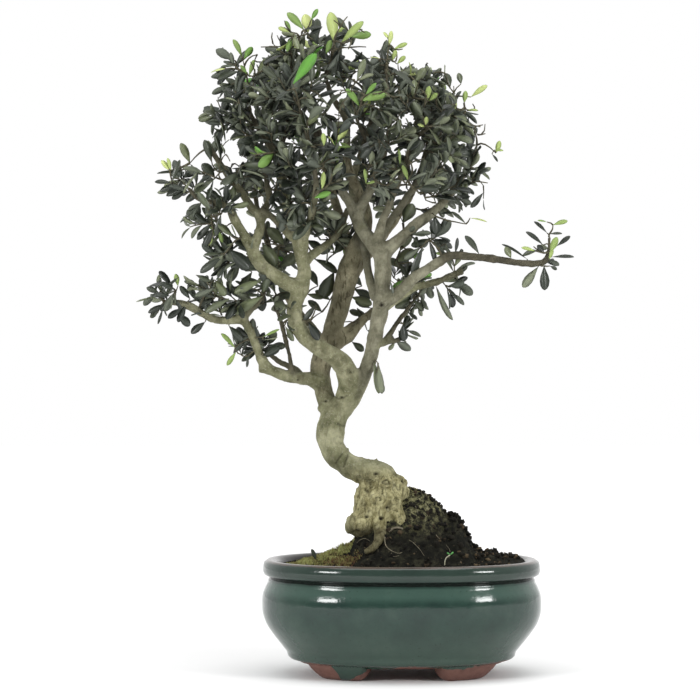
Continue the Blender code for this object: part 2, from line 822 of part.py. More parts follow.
def slice_off(shape, place, way):
    """Cuts away what lies beyond a plane and closes the cut."""
    whole = shape.verts[:] + shape.edges[:] + shape.faces[:]
    cut = bmesh.ops.bisect_plane(shape, geom=whole, plane_co=place, plane_no=way, clear_outer=True)
    rim = [item for item in cut["geom_cut"] if isinstance(item, bmesh.types.BMEdge)]
    if rim:
        bmesh.ops.contextual_create(shape, geom=rim)


def leaf_mass(name, places, parts, wood_cutter):
    """The space of one spray of leaves, parted from its neighbours and cut to clear the twigs."""
    middle, half = places[name]
    shape = bmesh.new()
    bmesh.ops.create_icosphere(shape, subdivisions=2, radius=1)
    for vertex in shape.verts:
        spot = vertex.co * 1.7 + middle * 90
        vertex.co *= 1 - LEAF_LUMPS * (0.5 + 0.5 * noise.noise(spot))
    bmesh.ops.scale(shape, verts=shape.verts, vec=half)
    bmesh.ops.translate(shape, verts=shape.verts, vec=middle)
    for other, (other_middle, other_half) in places.items():
        line = other_middle - middle
        if other == name or line.length > max(half) + max(other_half):
            continue
        way = line.normalized()
        mine, theirs = half_width(half, way), half_width(other_half, way)
        slice_off(shape, middle + way * (line.length * mine / (mine + theirs) - GAP), way)
    bmesh.ops.remove_doubles(shape, verts=shape.verts, dist=0.3 * MM)
    bmesh.ops.recalc_face_normals(shape, faces=shape.faces)
    mesh = bpy.data.meshes.new(name)
    shape.to_mesh(mesh)
    shape.free()
    body = add(name, mesh, parts, "foliage")
    boolean(body, wood_cutter, "DIFFERENCE")
    return keep_largest(body, parts, "foliage")


def main():
    clear_scene()
    parts = new_collection("olive_bonsai")
    cutters = new_collection("cutters")
    cutters.hide_render = True
    centre = bpy.data.objects.new("pot_centre", None)
    parts.objects.link(centre)

    pot(parts, cutters)
    for side, x in drain_sides().items():
        drain_screen(side, x, parts, cutters)
        mesh_wire(side, x, parts)
    wood("trunk_and_branches", parts, cutters, "bark")
    wood_cutter = wood("wood_clearance", cutters, cutters, None, GAP)
    ground = soil(parts, cutters, wood_cutter)
    lifted = add("soil_clearance", ground.data.copy(), cutters)
    lifted.data.transform(Matrix.Translation((0, 0, GAP)))
    for name in MOSS:
        moss(name, parts, cutters)
    places = leaf_places()
    for name in places:
        leaf_mass(name, places, parts, wood_cutter)

    centre.location = (POT_X, POT_Y, 0)
    for obj in list(parts.objects) + list(cutters.objects):
        if obj is not centre:
            obj.parent = centre


main()
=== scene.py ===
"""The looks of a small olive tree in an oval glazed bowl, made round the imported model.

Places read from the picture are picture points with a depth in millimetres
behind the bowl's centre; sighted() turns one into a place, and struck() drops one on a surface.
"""

import json
import math
import random

import bmesh
import bpy
import numpy as np
from mathutils import Matrix, Vector, kdtree, noise
from mathutils.bvhtree import BVHTree

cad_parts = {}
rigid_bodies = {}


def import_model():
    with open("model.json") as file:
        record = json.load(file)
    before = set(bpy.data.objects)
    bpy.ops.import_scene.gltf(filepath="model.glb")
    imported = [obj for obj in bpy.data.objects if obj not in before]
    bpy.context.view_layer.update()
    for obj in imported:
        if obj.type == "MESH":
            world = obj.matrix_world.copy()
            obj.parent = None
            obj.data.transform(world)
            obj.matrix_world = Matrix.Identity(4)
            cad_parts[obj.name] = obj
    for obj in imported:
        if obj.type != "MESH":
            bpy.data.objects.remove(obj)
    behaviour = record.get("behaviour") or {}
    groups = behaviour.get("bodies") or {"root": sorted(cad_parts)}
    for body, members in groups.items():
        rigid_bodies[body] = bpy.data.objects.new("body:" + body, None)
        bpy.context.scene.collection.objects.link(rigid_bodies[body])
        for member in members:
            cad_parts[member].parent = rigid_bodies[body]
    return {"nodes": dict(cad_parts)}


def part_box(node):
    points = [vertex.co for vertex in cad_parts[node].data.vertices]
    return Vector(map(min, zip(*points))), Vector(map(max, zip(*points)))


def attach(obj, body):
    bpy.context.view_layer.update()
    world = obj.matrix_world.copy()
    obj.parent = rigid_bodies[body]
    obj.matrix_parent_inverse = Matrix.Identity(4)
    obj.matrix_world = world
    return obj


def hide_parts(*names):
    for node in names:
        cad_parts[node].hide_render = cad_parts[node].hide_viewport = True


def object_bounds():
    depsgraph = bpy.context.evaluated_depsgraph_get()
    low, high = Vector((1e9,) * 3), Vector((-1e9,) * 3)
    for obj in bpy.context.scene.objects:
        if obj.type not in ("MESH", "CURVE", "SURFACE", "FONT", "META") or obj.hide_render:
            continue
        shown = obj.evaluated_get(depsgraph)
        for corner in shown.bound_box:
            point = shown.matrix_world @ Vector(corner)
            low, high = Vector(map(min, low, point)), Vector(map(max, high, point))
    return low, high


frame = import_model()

CAD_BOX = [list(map(float, corner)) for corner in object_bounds()]
MM = 0.001
UP = Vector((0, 0, 1))

# The noise that bends the twigs and wrinkles the bark starts here, so each run is alike
NOISE_SEED = 7
noise.seed_set(NOISE_SEED)

# The bowl's place in the frame
BOWL_LOW, BOWL_HIGH = (Vector(corner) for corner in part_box("pot"))
BOWL = Vector(((BOWL_LOW.x + BOWL_HIGH.x) / 2, (BOWL_LOW.y + BOWL_HIGH.y) / 2, 0))

# The picture: its size, what a pixel is at the bowl's centre, and where the camera stands
PICTURE = 700
PIXEL = 0.645 * MM
CAMERA_DISTANCE = 1.70
CAMERA_PLACE = BOWL + Vector((-33.2 * MM, -CAMERA_DISTANCE, 208.5 * MM))
SENSOR = 36.0

# How bright the white room is on the camera's side and behind the tree
ROOM_FRONT = 0.28
ROOM_BACK = 1.0

# Softboxes: azimuth and elevation in degrees, distance, width and height in metres, and watts
SOFTBOXES = {
    "left_softbox": (-46, 16, 1.6, 0.42, 0.34, 11),
    "right_softbox": (54, 16, 1.6, 0.42, 0.34, 11),
    "top_softbox": (0, 78, 1.5, 1.6, 1.2, 16),
}
SOFTBOX_AIM = BOWL + Vector((0, 0, 0.18))
FLOOR_HALF = 4.0

# The bowl: half widths along X, heights up from the table
PLAN_DEPTH = 0.77
PLAN_SQUARENESS = 2.25
RIM_TOP = 73.7 * MM
UNDERSIDE = 8.5 * MM
BOWL_STEPS = 144
PROFILE_STEP = 1.4 * MM
DRAIN_X = 30.0 * MM
DRAIN_RADIUS = 8.0 * MM

# The soil and its mound beside the root
SOIL_LEVEL = 69.2 * MM
SOIL_HALF = 79.4 * MM
MOUND_DEEP = 56.0 * MM


def srgb(red, green, blue):
    """The linear colour of a screen colour, 0 to 255."""
    levels = (value / 255 for value in (red, green, blue))
    return tuple(v / 12.92 if v <= 0.04045 else ((v + 0.055) / 1.055) ** 2.4 for v in levels)


def sighted(px, py, depth=0.0):
    """The place of a picture point this many millimetres behind the bowl's centre."""
    pixel = PIXEL * (1 + depth * MM / CAMERA_DISTANCE)
    x = (px - PICTURE / 2) * pixel
    z = (py - PICTURE / 2) * pixel
    return CAMERA_PLACE + Vector((x, CAMERA_DISTANCE + depth * MM, -z))


def struck(tree, px, py):
    """Where the sight line through a picture point first meets a surface, and the normal there."""
    place, normal, *_ = tree.ray_cast(CAMERA_PLACE, sighted(px, py) - CAMERA_PLACE)
    return place, normal


def turbulence(point, scale, octaves=4):
    """Fractal noise about 0, with features of about this size in metres."""
    return noise.fractal(point / scale, 0.9, 2.1, octaves)


def mesh_from(shape, name):
    """A bmesh turned into a mesh; the bmesh is freed."""
    mesh = bpy.data.meshes.new(name)
    shape.to_mesh(mesh)
    shape.free()
    return mesh


def add_piece(name, mesh, finishes, stands_for=()):
    """A finished piece that rides with the tree."""
    obj = bpy.data.objects.new(name, mesh)
    bpy.context.scene.collection.objects.link(obj)
    for material in finishes:
        mesh.materials.append(material)
    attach(obj, "root")
    if stands_for:
        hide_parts(*stands_for)
    return obj


def evaluated_mesh(obj):
    """The mesh that an object's modifiers or bevel make; the object is removed."""
    graph = bpy.context.evaluated_depsgraph_get()
    mesh = bpy.data.meshes.new_from_object(obj.evaluated_get(graph))
    bpy.data.objects.remove(obj, do_unlink=True)
    return mesh


def smooth_path(points, step):
    """Points about one step apart on a smooth curve through these rows of x, y, z and radius."""
    rows = np.array(points, dtype=float)
    rows = np.vstack([2 * rows[0] - rows[1], rows, 2 * rows[-1] - rows[-2]])
    path = []
    for a, b, c, d in zip(rows[:-3], rows[1:-2], rows[2:-1], rows[3:]):
        count = max(1, int(np.linalg.norm(c[:3] - b[:3]) / step))
        for t in np.arange(count) / count:
            bend = 2 * b + (c - a) * t + (2 * a - 5 * b + 4 * c - d) * t**2
            path.append(0.5 * (bend + (3 * b - a - 3 * c + d) * t**3))
    path.append(rows[-2])
    return np.array(path)


def tubes(paths, sides=2):
    """One mesh of closed tubes along these paths of x, y, z and radius."""
    curve = bpy.data.curves.new("tubes", "CURVE")
    curve.dimensions = "3D"
    curve.bevel_depth = 1.0
    curve.bevel_resolution = sides
    curve.use_fill_caps = True
    for path in paths:
        spline = curve.splines.new("POLY")
        spline.points.add(len(path) - 1)
        spline.points.foreach_set("co", np.c_[path[:, :3], np.ones(len(path))].ravel())
        spline.points.foreach_set("radius", path[:, 3])
    obj = bpy.data.objects.new("tubes", curve)
    bpy.context.scene.collection.objects.link(obj)
    mesh = evaluated_mesh(obj)
    shape = bmesh.new()
    shape.from_mesh(mesh)
    bmesh.ops.remove_doubles(shape, verts=shape.verts, dist=1e-6)
    shape.to_mesh(mesh)
    shape.free()
    return mesh


def coordinates(mesh):
    """A mesh's points as rows of x, y and z."""
    values = np.empty(len(mesh.vertices) * 3)
    mesh.vertices.foreach_get("co", values)
    return values.reshape(-1, 3)


def copies(template, matrices, tints, look=None):
    """One mesh of a template's copies, each moved by its matrix and given its tint."""
    obj = bpy.data.objects.new("copies", template)
    bpy.context.scene.collection.objects.link(obj)
    repeat = obj.modifiers.new("repeat", "ARRAY")
    repeat.count = len(matrices)
    repeat.use_relative_offset = False
    mesh = evaluated_mesh(obj)
    corners = np.c_[coordinates(template), np.ones(len(template.vertices))]
    moved = np.einsum("kij,vj->kvi", np.array([np.array(matrix) for matrix in matrices]), corners)
    mesh.vertices.foreach_set("co", moved[..., :3].ravel())
    mark(mesh, "tint", np.repeat(tints, len(template.vertices)))
    if look is not None:
        mesh.polygons.foreach_set("material_index", [look] * len(mesh.polygons))
    return mesh


def mark(mesh, name, values):
    """Gives each point of a mesh a number that its material reads."""
    mesh.attributes.new(name, "FLOAT", "POINT").data.foreach_set("value", values)


def surface_of(mesh):
    """A mesh's faces, ready for sight lines and drops to strike."""
    return BVHTree.FromPolygons([v.co for v in mesh.vertices], [p.vertices for p in mesh.polygons])


def gathered(meshes, name):
    """These meshes as one smooth mesh; they are removed."""
    shape = bmesh.new()
    for mesh in meshes:
        shape.from_mesh(mesh)
        bpy.data.meshes.remove(mesh)
    mesh = mesh_from(shape, name)
    mesh.shade_smooth()
    return mesh


class Heap:
    """Copies of a few templates, gathered by template and look until they become one mesh."""

    def __init__(self, templates):
        self.templates = templates
        self.stacks = {}

    def put(self, kind, matrix, tint, look=None):
        matrices, tints = self.stacks.setdefault((kind, look), ([], []))
        matrices.append(matrix)
        tints.append(tint)

    def meshes(self):
        return [copies(self.templates[kind], *stack, look) for (kind, look), stack in self.stacks.items()]


# Finishes


class Finish:
    """A Principled material, and short ways to add the nodes that feed it."""

    def __init__(self, name, **sockets):
        self.material = bpy.data.materials.new(name)
        self.material.use_nodes = True
        self.tree = self.material.node_tree
        self.shader = self.tree.nodes["Principled BSDF"]
        for socket, value in sockets.items():
            self.shader.inputs[socket.replace("_", " ")].default_value = value
        self.place = self.add("ShaderNodeTexCoord").outputs["Object"]

    def add(self, kind, inputs=(), **settings):
        node = self.tree.nodes.new(kind)
        for key, value in settings.items():
            setattr(node, key, value)
        for key, value in dict(inputs).items():
            self.feed(node.inputs[key], value)
        return node

    def feed(self, socket, value):
        if isinstance(value, bpy.types.NodeSocket):
            self.tree.links.new(value, socket)
        else:
            socket.default_value = value

    def noise(self, size, detail=4.0, roughness=0.55, stretch=None):
        """A noise value with features of about this size in metres."""
        place = self.place
        if stretch:
            place = self.add("ShaderNodeMapping", {"Vector": place, "Scale": stretch}).outputs[0]
        inputs = {"Vector": place, "Scale": 1 / size, "Detail": detail, "Roughness": roughness}
        return self.add("ShaderNodeTexNoise", inputs).outputs["Fac"]

    def attribute(self, name):
        return self.add("ShaderNodeAttribute", attribute_name=name).outputs["Fac"]

    def ramp(self, factor, stops):
        """Colours at stops along a factor."""
        node = self.add("ShaderNodeValToRGB", {"Fac": factor})
        spots = node.color_ramp.elements
        while len(spots) < len(stops):
            spots.new(0.5)
        for spot, (position, colour) in zip(spots, stops):
            spot.position = position
            spot.color = (*colour, 1)
        return node.outputs["Color"]

    def step(self, value, low, high):
        """A value turned into 0 at low and 1 at high, smoothly."""
        inputs = {"Value": value, "From Min": low, "From Max": high}
        return self.add("ShaderNodeMapRange", inputs, interpolation_type="SMOOTHSTEP").outputs[0]

    def math(self, operation, first, second=0.0):
        node = self.add("ShaderNodeMath", operation=operation)
        self.feed(node.inputs[0], first)
        self.feed(node.inputs[1], second)
        return node.outputs[0]

    def times(self, first, second):
        return self.math("MULTIPLY", first, second)

    def plus(self, first, second):
        return self.math("ADD", first, second)

    def mix(self, factor, first, second):
        """Two colours mixed."""
        node = self.add("ShaderNodeMix", data_type="RGBA")
        self.feed(node.inputs["Factor"], factor)
        for socket, colour in ((node.inputs[6], first), (node.inputs[7], second)):
            self.feed(socket, (*colour, 1) if isinstance(colour, tuple) else colour)
        return node.outputs[2]

    def wash(self, base, cover, share, colour):
        """A base colour with this share of another laid over it, as far as the cover value reaches."""
        return self.mix(self.times(cover, share), base, colour)

    def colour(self, socket):
        self.feed(self.shader.inputs["Base Color"], socket)

    def rough(self, socket):
        self.feed(self.shader.inputs["Roughness"], socket)

    def bump(self, heights, distance, strength=1.0):
        inputs = {"Height": heights, "Distance": distance, "Strength": strength}
        normal = self.add("ShaderNodeBump", inputs).outputs[0]
        self.feed(self.shader.inputs["Normal"], normal)


def glaze_finish():
    """Dark teal glaze that pools and thins, on clay that is bare low on the feet; painted shadow in the
    neck, painted sheen on the shoulder and a painted floor reflection low on the belly.
    """
    look = Finish("glaze", Coat_Weight=0.2, Coat_Roughness=0.06, IOR=1.42)
    height = look.add("ShaderNodeSeparateXYZ", {"Vector": look.place}).outputs["Z"]
    clouds = look.noise(0.026, 5, 0.6)
    streaks = look.noise(0.006, 4, 0.65, (1, 1, 0.3))
    teal = look.ramp(clouds, [(0.30, srgb(20, 38, 34)), (0.52, srgb(32, 54, 46)), (0.75, srgb(52, 71, 61))])
    teal = look.wash(teal, streaks, 0.4, srgb(26, 54, 47))
    # Painted reflection of the white floor: the lower belly turns a lighter grey-green.
    floor_reflection = look.step(height, 0.046, 0.014)
    teal = look.wash(teal, floor_reflection, 0.45, srgb(62, 80, 69))
    # Painted sheen: a lighter teal band on the shoulder, where it tilts up to the light.
    shoulder_sheen = look.times(look.step(height, 0.050, 0.056), look.step(height, 0.0612, 0.0595))
    teal = look.wash(teal, shoulder_sheen, 0.5, srgb(70, 94, 84))
    specks = look.step(look.noise(0.0017, 2), 0.66, 0.72)
    teal = look.wash(teal, specks, 0.45, srgb(20, 30, 26))
    wobble = look.times(look.noise(0.008, 3), 0.0016)
    # Painted shadow: a near-black band in the neck, under the rim's overhang.
    neck = look.plus(height, wobble)
    neck = look.times(look.step(neck, 0.0618, 0.0628), look.step(neck, 0.0662, 0.0645))
    teal = look.wash(teal, neck, 0.85, srgb(18, 20, 18))
    rim = look.step(height, 0.0640, 0.0662)
    teal = look.wash(teal, rim, 0.6, srgb(40, 50, 44))
    lip = look.step(look.plus(height, wobble), RIM_TOP - 0.6 * MM, RIM_TOP + 0.5 * MM)
    teal = look.wash(teal, lip, 0.8, srgb(84, 70, 62))
    teal = look.mix(look.attribute("inside"), teal, srgb(46, 42, 36))
    clay = look.ramp(look.noise(0.006, 5, 0.65), [(0.3, srgb(96, 62, 54)), (0.7, srgb(128, 90, 78))])
    grain = look.noise(0.0007, 3)
    clay = look.wash(clay, grain, 0.4, srgb(74, 52, 46))
    edge = look.times(look.math("SUBTRACT", look.noise(0.006, 3), 0.5), 3.0)
    bare = look.step(look.plus(look.attribute("bare"), edge), -0.25, 0.25)
    look.colour(look.mix(bare, teal, clay))
    look.rough(look.plus(look.times(bare, 0.6), 0.15))
    rough_clay = look.times(look.times(grain, bare), 0.35)
    skin = look.plus(look.times(look.noise(0.010, 3), 0.7), rough_clay)
    skin = look.plus(skin, look.times(look.noise(0.0022, 2), 0.05))
    look.bump(look.math("SUBTRACT", skin, look.times(bare, 0.5)), 0.5 * MM)
    return look.material


def soil_finish():
    look = Finish("soil", Roughness=1.0, Specular_IOR_Level=0.15)
    clods = look.noise(0.006, 6, 0.7)
    dirt = look.ramp(clods, [(0.30, srgb(11, 12, 9)), (0.52, srgb(25, 25, 20)), (0.74, srgb(58, 57, 44))])
    mossy = look.step(look.noise(0.0036, 7, 0.75), 0.43, 0.60)
    tuft = look.ramp(look.noise(0.0022, 4), [(0.3, srgb(86, 86, 54)), (0.7, srgb(156, 153, 116))])
    dirt = look.mix(look.times(mossy, look.attribute("green")), dirt, tuft)
    pale = look.step(look.noise(0.0013, 2), 0.68, 0.74)
    dirt = look.wash(dirt, pale, 0.6, srgb(98, 88, 70))
    look.colour(dirt)
    look.bump(look.noise(0.0014, 5, 0.7), 0.9 * MM)
    return look.material


def crumb_finish():
    look = Finish("crumbs", Roughness=0.95, Specular_IOR_Level=0.2)
    earth = [
        (0.0, srgb(14, 13, 11)), (0.5, srgb(30, 28, 22)), (0.85, srgb(52, 44, 33)), (1.0, srgb(88, 76, 58)),
    ]
    look.colour(look.ramp(look.attribute("tint"), earth))
    look.bump(look.noise(0.0008, 4), 0.3 * MM)
    return look.material


def moss_finish():
    look = Finish("moss", Roughness=0.9, Specular_IOR_Level=0.2)
    greens = [
        (0.0, srgb(88, 62, 46)), (0.3, srgb(118, 108, 68)), (0.6, srgb(146, 150, 90)),
        (1.0, srgb(188, 191, 134)),
    ]
    look.colour(look.ramp(look.attribute("tint"), greens))
    return look.material


def bark_finish():
    """Smooth grey-olive bark, corky on the root block, browner on the old stem, with painted shade on the
    thin wood, in patches, in the hollows and, with a soil stain, low on the block.
    """
    look = Finish("bark", Roughness=0.85, Specular_IOR_Level=0.25)
    patches = look.noise(0.011, 6, 0.65)
    olives = [(0.32, srgb(90, 91, 64)), (0.48, srgb(123, 123, 94)), (0.66, srgb(160, 159, 129))]
    bark = look.ramp(patches, olives)
    flecks = look.step(look.noise(0.0030, 4, 0.7), 0.52, 0.68)
    bark = look.wash(bark, flecks, 0.35, srgb(158, 154, 134))
    dots = look.step(look.noise(0.0012, 2, 0.5), 0.60, 0.70)
    bark = look.wash(bark, dots, 0.35, srgb(178, 175, 156))
    cork_noise = look.noise(0.0034, 9, 0.74, (1, 1, 0.5))
    corks = [
        (0.30, srgb(64, 58, 34)), (0.43, srgb(123, 117, 80)), (0.57, srgb(174, 169, 128)),
        (0.76, srgb(216, 212, 176)),
    ]
    cork = look.ramp(cork_noise, corks)
    # Low on the block the cork darkens: a soil stain, and painted shade beneath the ledge.
    cork = look.wash(cork, look.attribute("stain_and_shade"), 0.7, srgb(50, 44, 30))
    bark = look.mix(look.attribute("cork"), bark, cork)
    browns = [(0.3, srgb(94, 89, 70)), (0.52, srgb(132, 126, 102)), (0.72, srgb(162, 156, 130))]
    brown = look.ramp(look.noise(0.007, 6, 0.6), browns)
    bark = look.mix(look.attribute("old"), bark, brown)
    greys = [(0.32, srgb(80, 77, 66)), (0.48, srgb(108, 105, 92)), (0.66, srgb(141, 138, 122))]
    grey = look.ramp(patches, greys)
    bark = look.wash(bark, look.attribute("grey"), 0.65, grey)
    # Painted shade of the crown: the thin wood takes these darker colours.
    thins = [(0.3, srgb(58, 56, 45)), (0.6, srgb(86, 82, 67)), (0.8, srgb(112, 108, 91))]
    thin_wood_shade = look.ramp(look.noise(0.005, 5, 0.6), thins)
    bark = look.mix(look.attribute("thin_wood_shade"), bark, thin_wood_shade)
    lines = look.noise(0.0024, 5, 0.65, (1, 1, 0.28))
    age = look.plus(look.attribute("old"), 0.5)
    fissures = look.times(look.step(lines, 0.52, 0.64), age)
    bark = look.wash(bark, fissures, 0.55, srgb(58, 53, 38))
    # Painted shade in patches: along the middle stem, under the trunk's bend and in the forks.
    patchy_shade = look.times(look.attribute("patch_shade"), look.step(look.noise(0.004, 5, 0.7), 0.30, 0.58))
    bark = look.wash(bark, patchy_shade, 0.8, srgb(78, 76, 54))
    # Painted shade: near-black in the cork's cracks, the rings, the pits and the creases.
    hollow = look.step(look.attribute("hollow"), 0.05, 0.9)
    bark = look.mix(hollow, bark, srgb(30, 25, 16))
    look.colour(bark)
    fine = look.noise(0.0012, 6, 0.7)
    relief = look.plus(look.times(fine, 0.8), look.times(cork_noise, 1.2))
    look.bump(look.plus(relief, lines), 0.9 * MM)
    return look.material


def twig_finish():
    look = Finish("twigs", Roughness=0.8, Specular_IOR_Level=0.3)
    look.colour(look.ramp(look.noise(0.004, 4), [(0.3, srgb(58, 54, 42)), (0.7, srgb(96, 92, 72))]))
    look.bump(look.noise(0.0009, 3), 0.2 * MM)
    return look.material


def leaf_finish(name, stops, roughness, coat=0.0, mottling=0.35):
    """One side of the leaves; tint runs from the darkest leaf to the palest."""
    look = Finish(name, Coat_Weight=coat, Coat_Roughness=0.25)
    tint = look.attribute("tint")
    mottle = look.times(look.math("SUBTRACT", look.noise(0.003, 3), 0.5), mottling)
    look.colour(look.ramp(look.plus(tint, mottle), stops))
    look.rough(look.plus(look.times(look.noise(0.0015, 2), 0.15), roughness))
    look.bump(look.noise(0.0008, 3), 0.08 * MM)
    return look.material


# The places of young leaves and of twigs among the finishes of a spray
YOUNG_LOOK = 2
TWIG_LOOK = 3


def foliage_finishes():
    """Leaf tops, leaf undersides, young leaves and twigs, in the order of their material numbers."""
    dark = [
        (0.0, srgb(30, 36, 29)), (0.40, srgb(46, 53, 41)), (0.75, srgb(75, 82, 63)),
        (1.0, srgb(108, 116, 82)),
    ]
    under = [(0.0, srgb(68, 74, 66)), (0.6, srgb(96, 102, 86)), (1.0, srgb(126, 132, 104))]
    fresh = [
        (0.0, srgb(86, 146, 48)), (0.35, srgb(116, 142, 72)), (0.7, srgb(160, 178, 102)),
        (1.0, srgb(196, 206, 134)),
    ]
    return [
        leaf_finish("leaf_tops", dark, 0.36, 0.2),
        leaf_finish("leaf_undersides", under, 0.6),
        leaf_finish("young_leaves", fresh, 0.5, 0.1, 0.15),
        twig_finish(),
    ]


# Camera, light and floor


def camera():
    eye = bpy.data.cameras.new("camera")
    eye.sensor_width = SENSOR
    eye.lens = SENSOR * (CAMERA_DISTANCE / PIXEL) / PICTURE
    seat = bpy.data.objects.new("camera", eye)
    seat.location = CAMERA_PLACE
    seat.rotation_euler = (math.radians(90), 0, 0)
    bpy.context.scene.collection.objects.link(seat)
    bpy.context.scene.camera = seat


def softboxes():
    for name, (azimuth, elevation, distance, width, height, watts) in SOFTBOXES.items():
        light = bpy.data.lights.new(name, "AREA")
        light.shape = "RECTANGLE"
        light.size, light.size_y = width, height
        light.energy = watts
        box = bpy.data.objects.new(name, light)
        tilt = Matrix.Rotation(math.radians(-elevation), 3, "X")
        away = Matrix.Rotation(math.radians(azimuth), 3, "Z") @ tilt @ Vector((0, -1, 0))
        box.location = SOFTBOX_AIM + away * distance
        box.rotation_euler = away.to_track_quat("Z", "Y").to_euler()
        bpy.context.scene.collection.objects.link(box)


def white_room():
    """White all round, dimmer on the camera's side, and plain white where the camera sees it."""
    world = bpy.data.worlds.new("studio")
    world.use_nodes = True
    nodes, links = world.node_tree.nodes, world.node_tree.links
    way = nodes.new("ShaderNodeSeparateXYZ")
    links.new(nodes.new("ShaderNodeTexCoord").outputs["Generated"], way.inputs[0])
    dim = nodes.new("ShaderNodeMapRange")
    dim.inputs["From Min"].default_value, dim.inputs["From Max"].default_value = -0.7, 0.5
    dim.inputs["To Min"].default_value, dim.inputs["To Max"].default_value = ROOM_FRONT, ROOM_BACK
    links.new(way.outputs["Y"], dim.inputs["Value"])
    seen = nodes.new("ShaderNodeLightPath")
    strength = nodes.new("ShaderNodeMix")
    strength.inputs["B"].default_value = 1.0
    links.new(seen.outputs["Is Camera Ray"], strength.inputs["Factor"])
    links.new(dim.outputs[0], strength.inputs["A"])
    sky = nodes["Background"]
    sky.inputs["Color"].default_value = (1, 1, 1, 1)
    links.new(strength.outputs[0], sky.inputs["Strength"])
    bpy.context.scene.world = world
    bpy.context.scene.view_settings.view_transform = "Standard"


def floor():
    """A pale floor whose far parts glow a little, so that no horizon shows."""
    shape = bmesh.new()
    bmesh.ops.create_grid(shape, x_segments=1, y_segments=1, size=FLOOR_HALF)
    slab = bpy.data.objects.new("floor", mesh_from(shape, "floor"))
    bpy.context.scene.collection.objects.link(slab)
    look = Finish("floor", Roughness=0.9, Specular_IOR_Level=0.1)
    paper = look.ramp(look.noise(0.4, 2), [(0.0, (0.90, 0.90, 0.90)), (1.0, (0.93, 0.93, 0.93))])
    look.colour(paper)
    far = look.add("ShaderNodeVectorMath", {"Vector": look.place}, operation="LENGTH").outputs["Value"]
    look.feed(look.shader.inputs["Emission Color"], (1, 1, 1, 1))
    glow = look.times(look.step(far, 0.4, 1.6), 0.45)
    look.feed(look.shader.inputs["Emission Strength"], glow)
    slab.data.materials.append(look.material)


# The bowl


def oval(radius, angle):
    """A point on the bowl's soft oval, for a half width along X and a plan angle."""
    c, s = math.cos(angle), math.sin(angle)
    stretch = (abs(c) ** PLAN_SQUARENESS + abs(s) ** PLAN_SQUARENESS) ** (-1 / PLAN_SQUARENESS)
    return Vector((radius * c * stretch, radius * s * stretch * PLAN_DEPTH, 0))


# The bowl's section, in mm: half widths along X, and heights above the table
BOWL_OUTSIDE = [
    (79.0, 70.2), (80.6, 72.6), (83.2, 73.7), (86.4, 73.6), (88.6, 72.2), (89.3, 69.6), (89.3, 66.4),
    (88.6, 64.6), (86.9, 63.7), (85.4, 63.2), (84.8, 62.4), (85.4, 61.9), (85.85, 61.2), (86.05, 60.5),
    (86.1, 59.7), (86.8, 58.2), (88.0, 55.6), (88.8, 53.7), (89.35, 52.1), (89.65, 50.6), (89.78, 48.4),
    (89.8, 45.2), (89.4, 39.4), (87.0, 32.6), (83.0, 26.6), (78.6, 21.0), (75.4, 17.0), (74.0, 15.4),
    (73.6, 14.2), (73.2, 12.4), (71.8, 11.0), (68.4, 10.0), (65.2, 9.0), (62.0, 8.5), (30.0, 8.5),
    (0.0, 8.5),
]
BOWL_INSIDE = [
    (0.0, 15.5), (40.0, 15.5), (62.0, 16.0), (71.0, 20.0), (80.0, 30.0), (84.2, 44.0), (82.0, 56.0),
    (79.4, 64.0),
]


def bowl_profile():
    """Half widths and heights from the middle of the inside, over the rim, to the middle underneath."""
    points = [(r, 0, z, 0) for r, z in BOWL_INSIDE[1:] + BOWL_OUTSIDE[:-1]]
    path = smooth_path(np.array(points) * MM, PROFILE_STEP)
    middle_inside, middle_underneath = BOWL_INSIDE[0][1] * MM, BOWL_OUTSIDE[-1][1] * MM
    return [(0.0, middle_inside), *((row[0], row[2]) for row in path), (0.0, middle_underneath)]


def bowl_body():
    """The bowl without its feet: its section spun round, then drawn out to the soft oval."""
    shape = bmesh.new()
    profile = [shape.verts.new((radius, 0, z)) for radius, z in bowl_profile()]
    section = profile + [shape.edges.new(pair) for pair in zip(profile[:-1], profile[1:])]
    turn = 2 * math.pi
    bmesh.ops.spin(
        shape, geom=section, axis=UP, cent=(0, 0, 0), angle=turn, steps=BOWL_STEPS, use_merge=True
    )
    bmesh.ops.remove_doubles(shape, verts=shape.verts, dist=0.01 * MM)
    for vertex in shape.verts:
        radius = math.hypot(vertex.co.x, vertex.co.y)
        if radius > 1e-6:
            spot = oval(radius, math.atan2(vertex.co.y, vertex.co.x))
            swell = 1 + 0.004 * noise.noise(Vector((spot.x, spot.y, vertex.co.z)) * 22)
            vertex.co.x, vertex.co.y = spot.x * swell, spot.y * swell
    bmesh.ops.recalc_face_normals(shape, faces=shape.faces)
    return mesh_from(shape, "bowl")


# A foot: the plan angles where it starts, lies flat, lifts and stops, then its half widths and top
FOOT_SPAN = (27, 40, 60, 69)
FOOT_OUTER = 67.0 * MM
FOOT_INNER = 49.0 * MM
FOOT_TOP = 11.5 * MM
# How far its sides lean in at the ground, the rounding of its lower edge, and its rings and rows
FOOT_LEAN = 7.0 * MM
FOOT_EDGE = 1.2 * MM
FOOT_RINGS = 40
FOOT_ROWS = (0.0, 0.06, 0.2, 0.45, 0.75, 1.0)


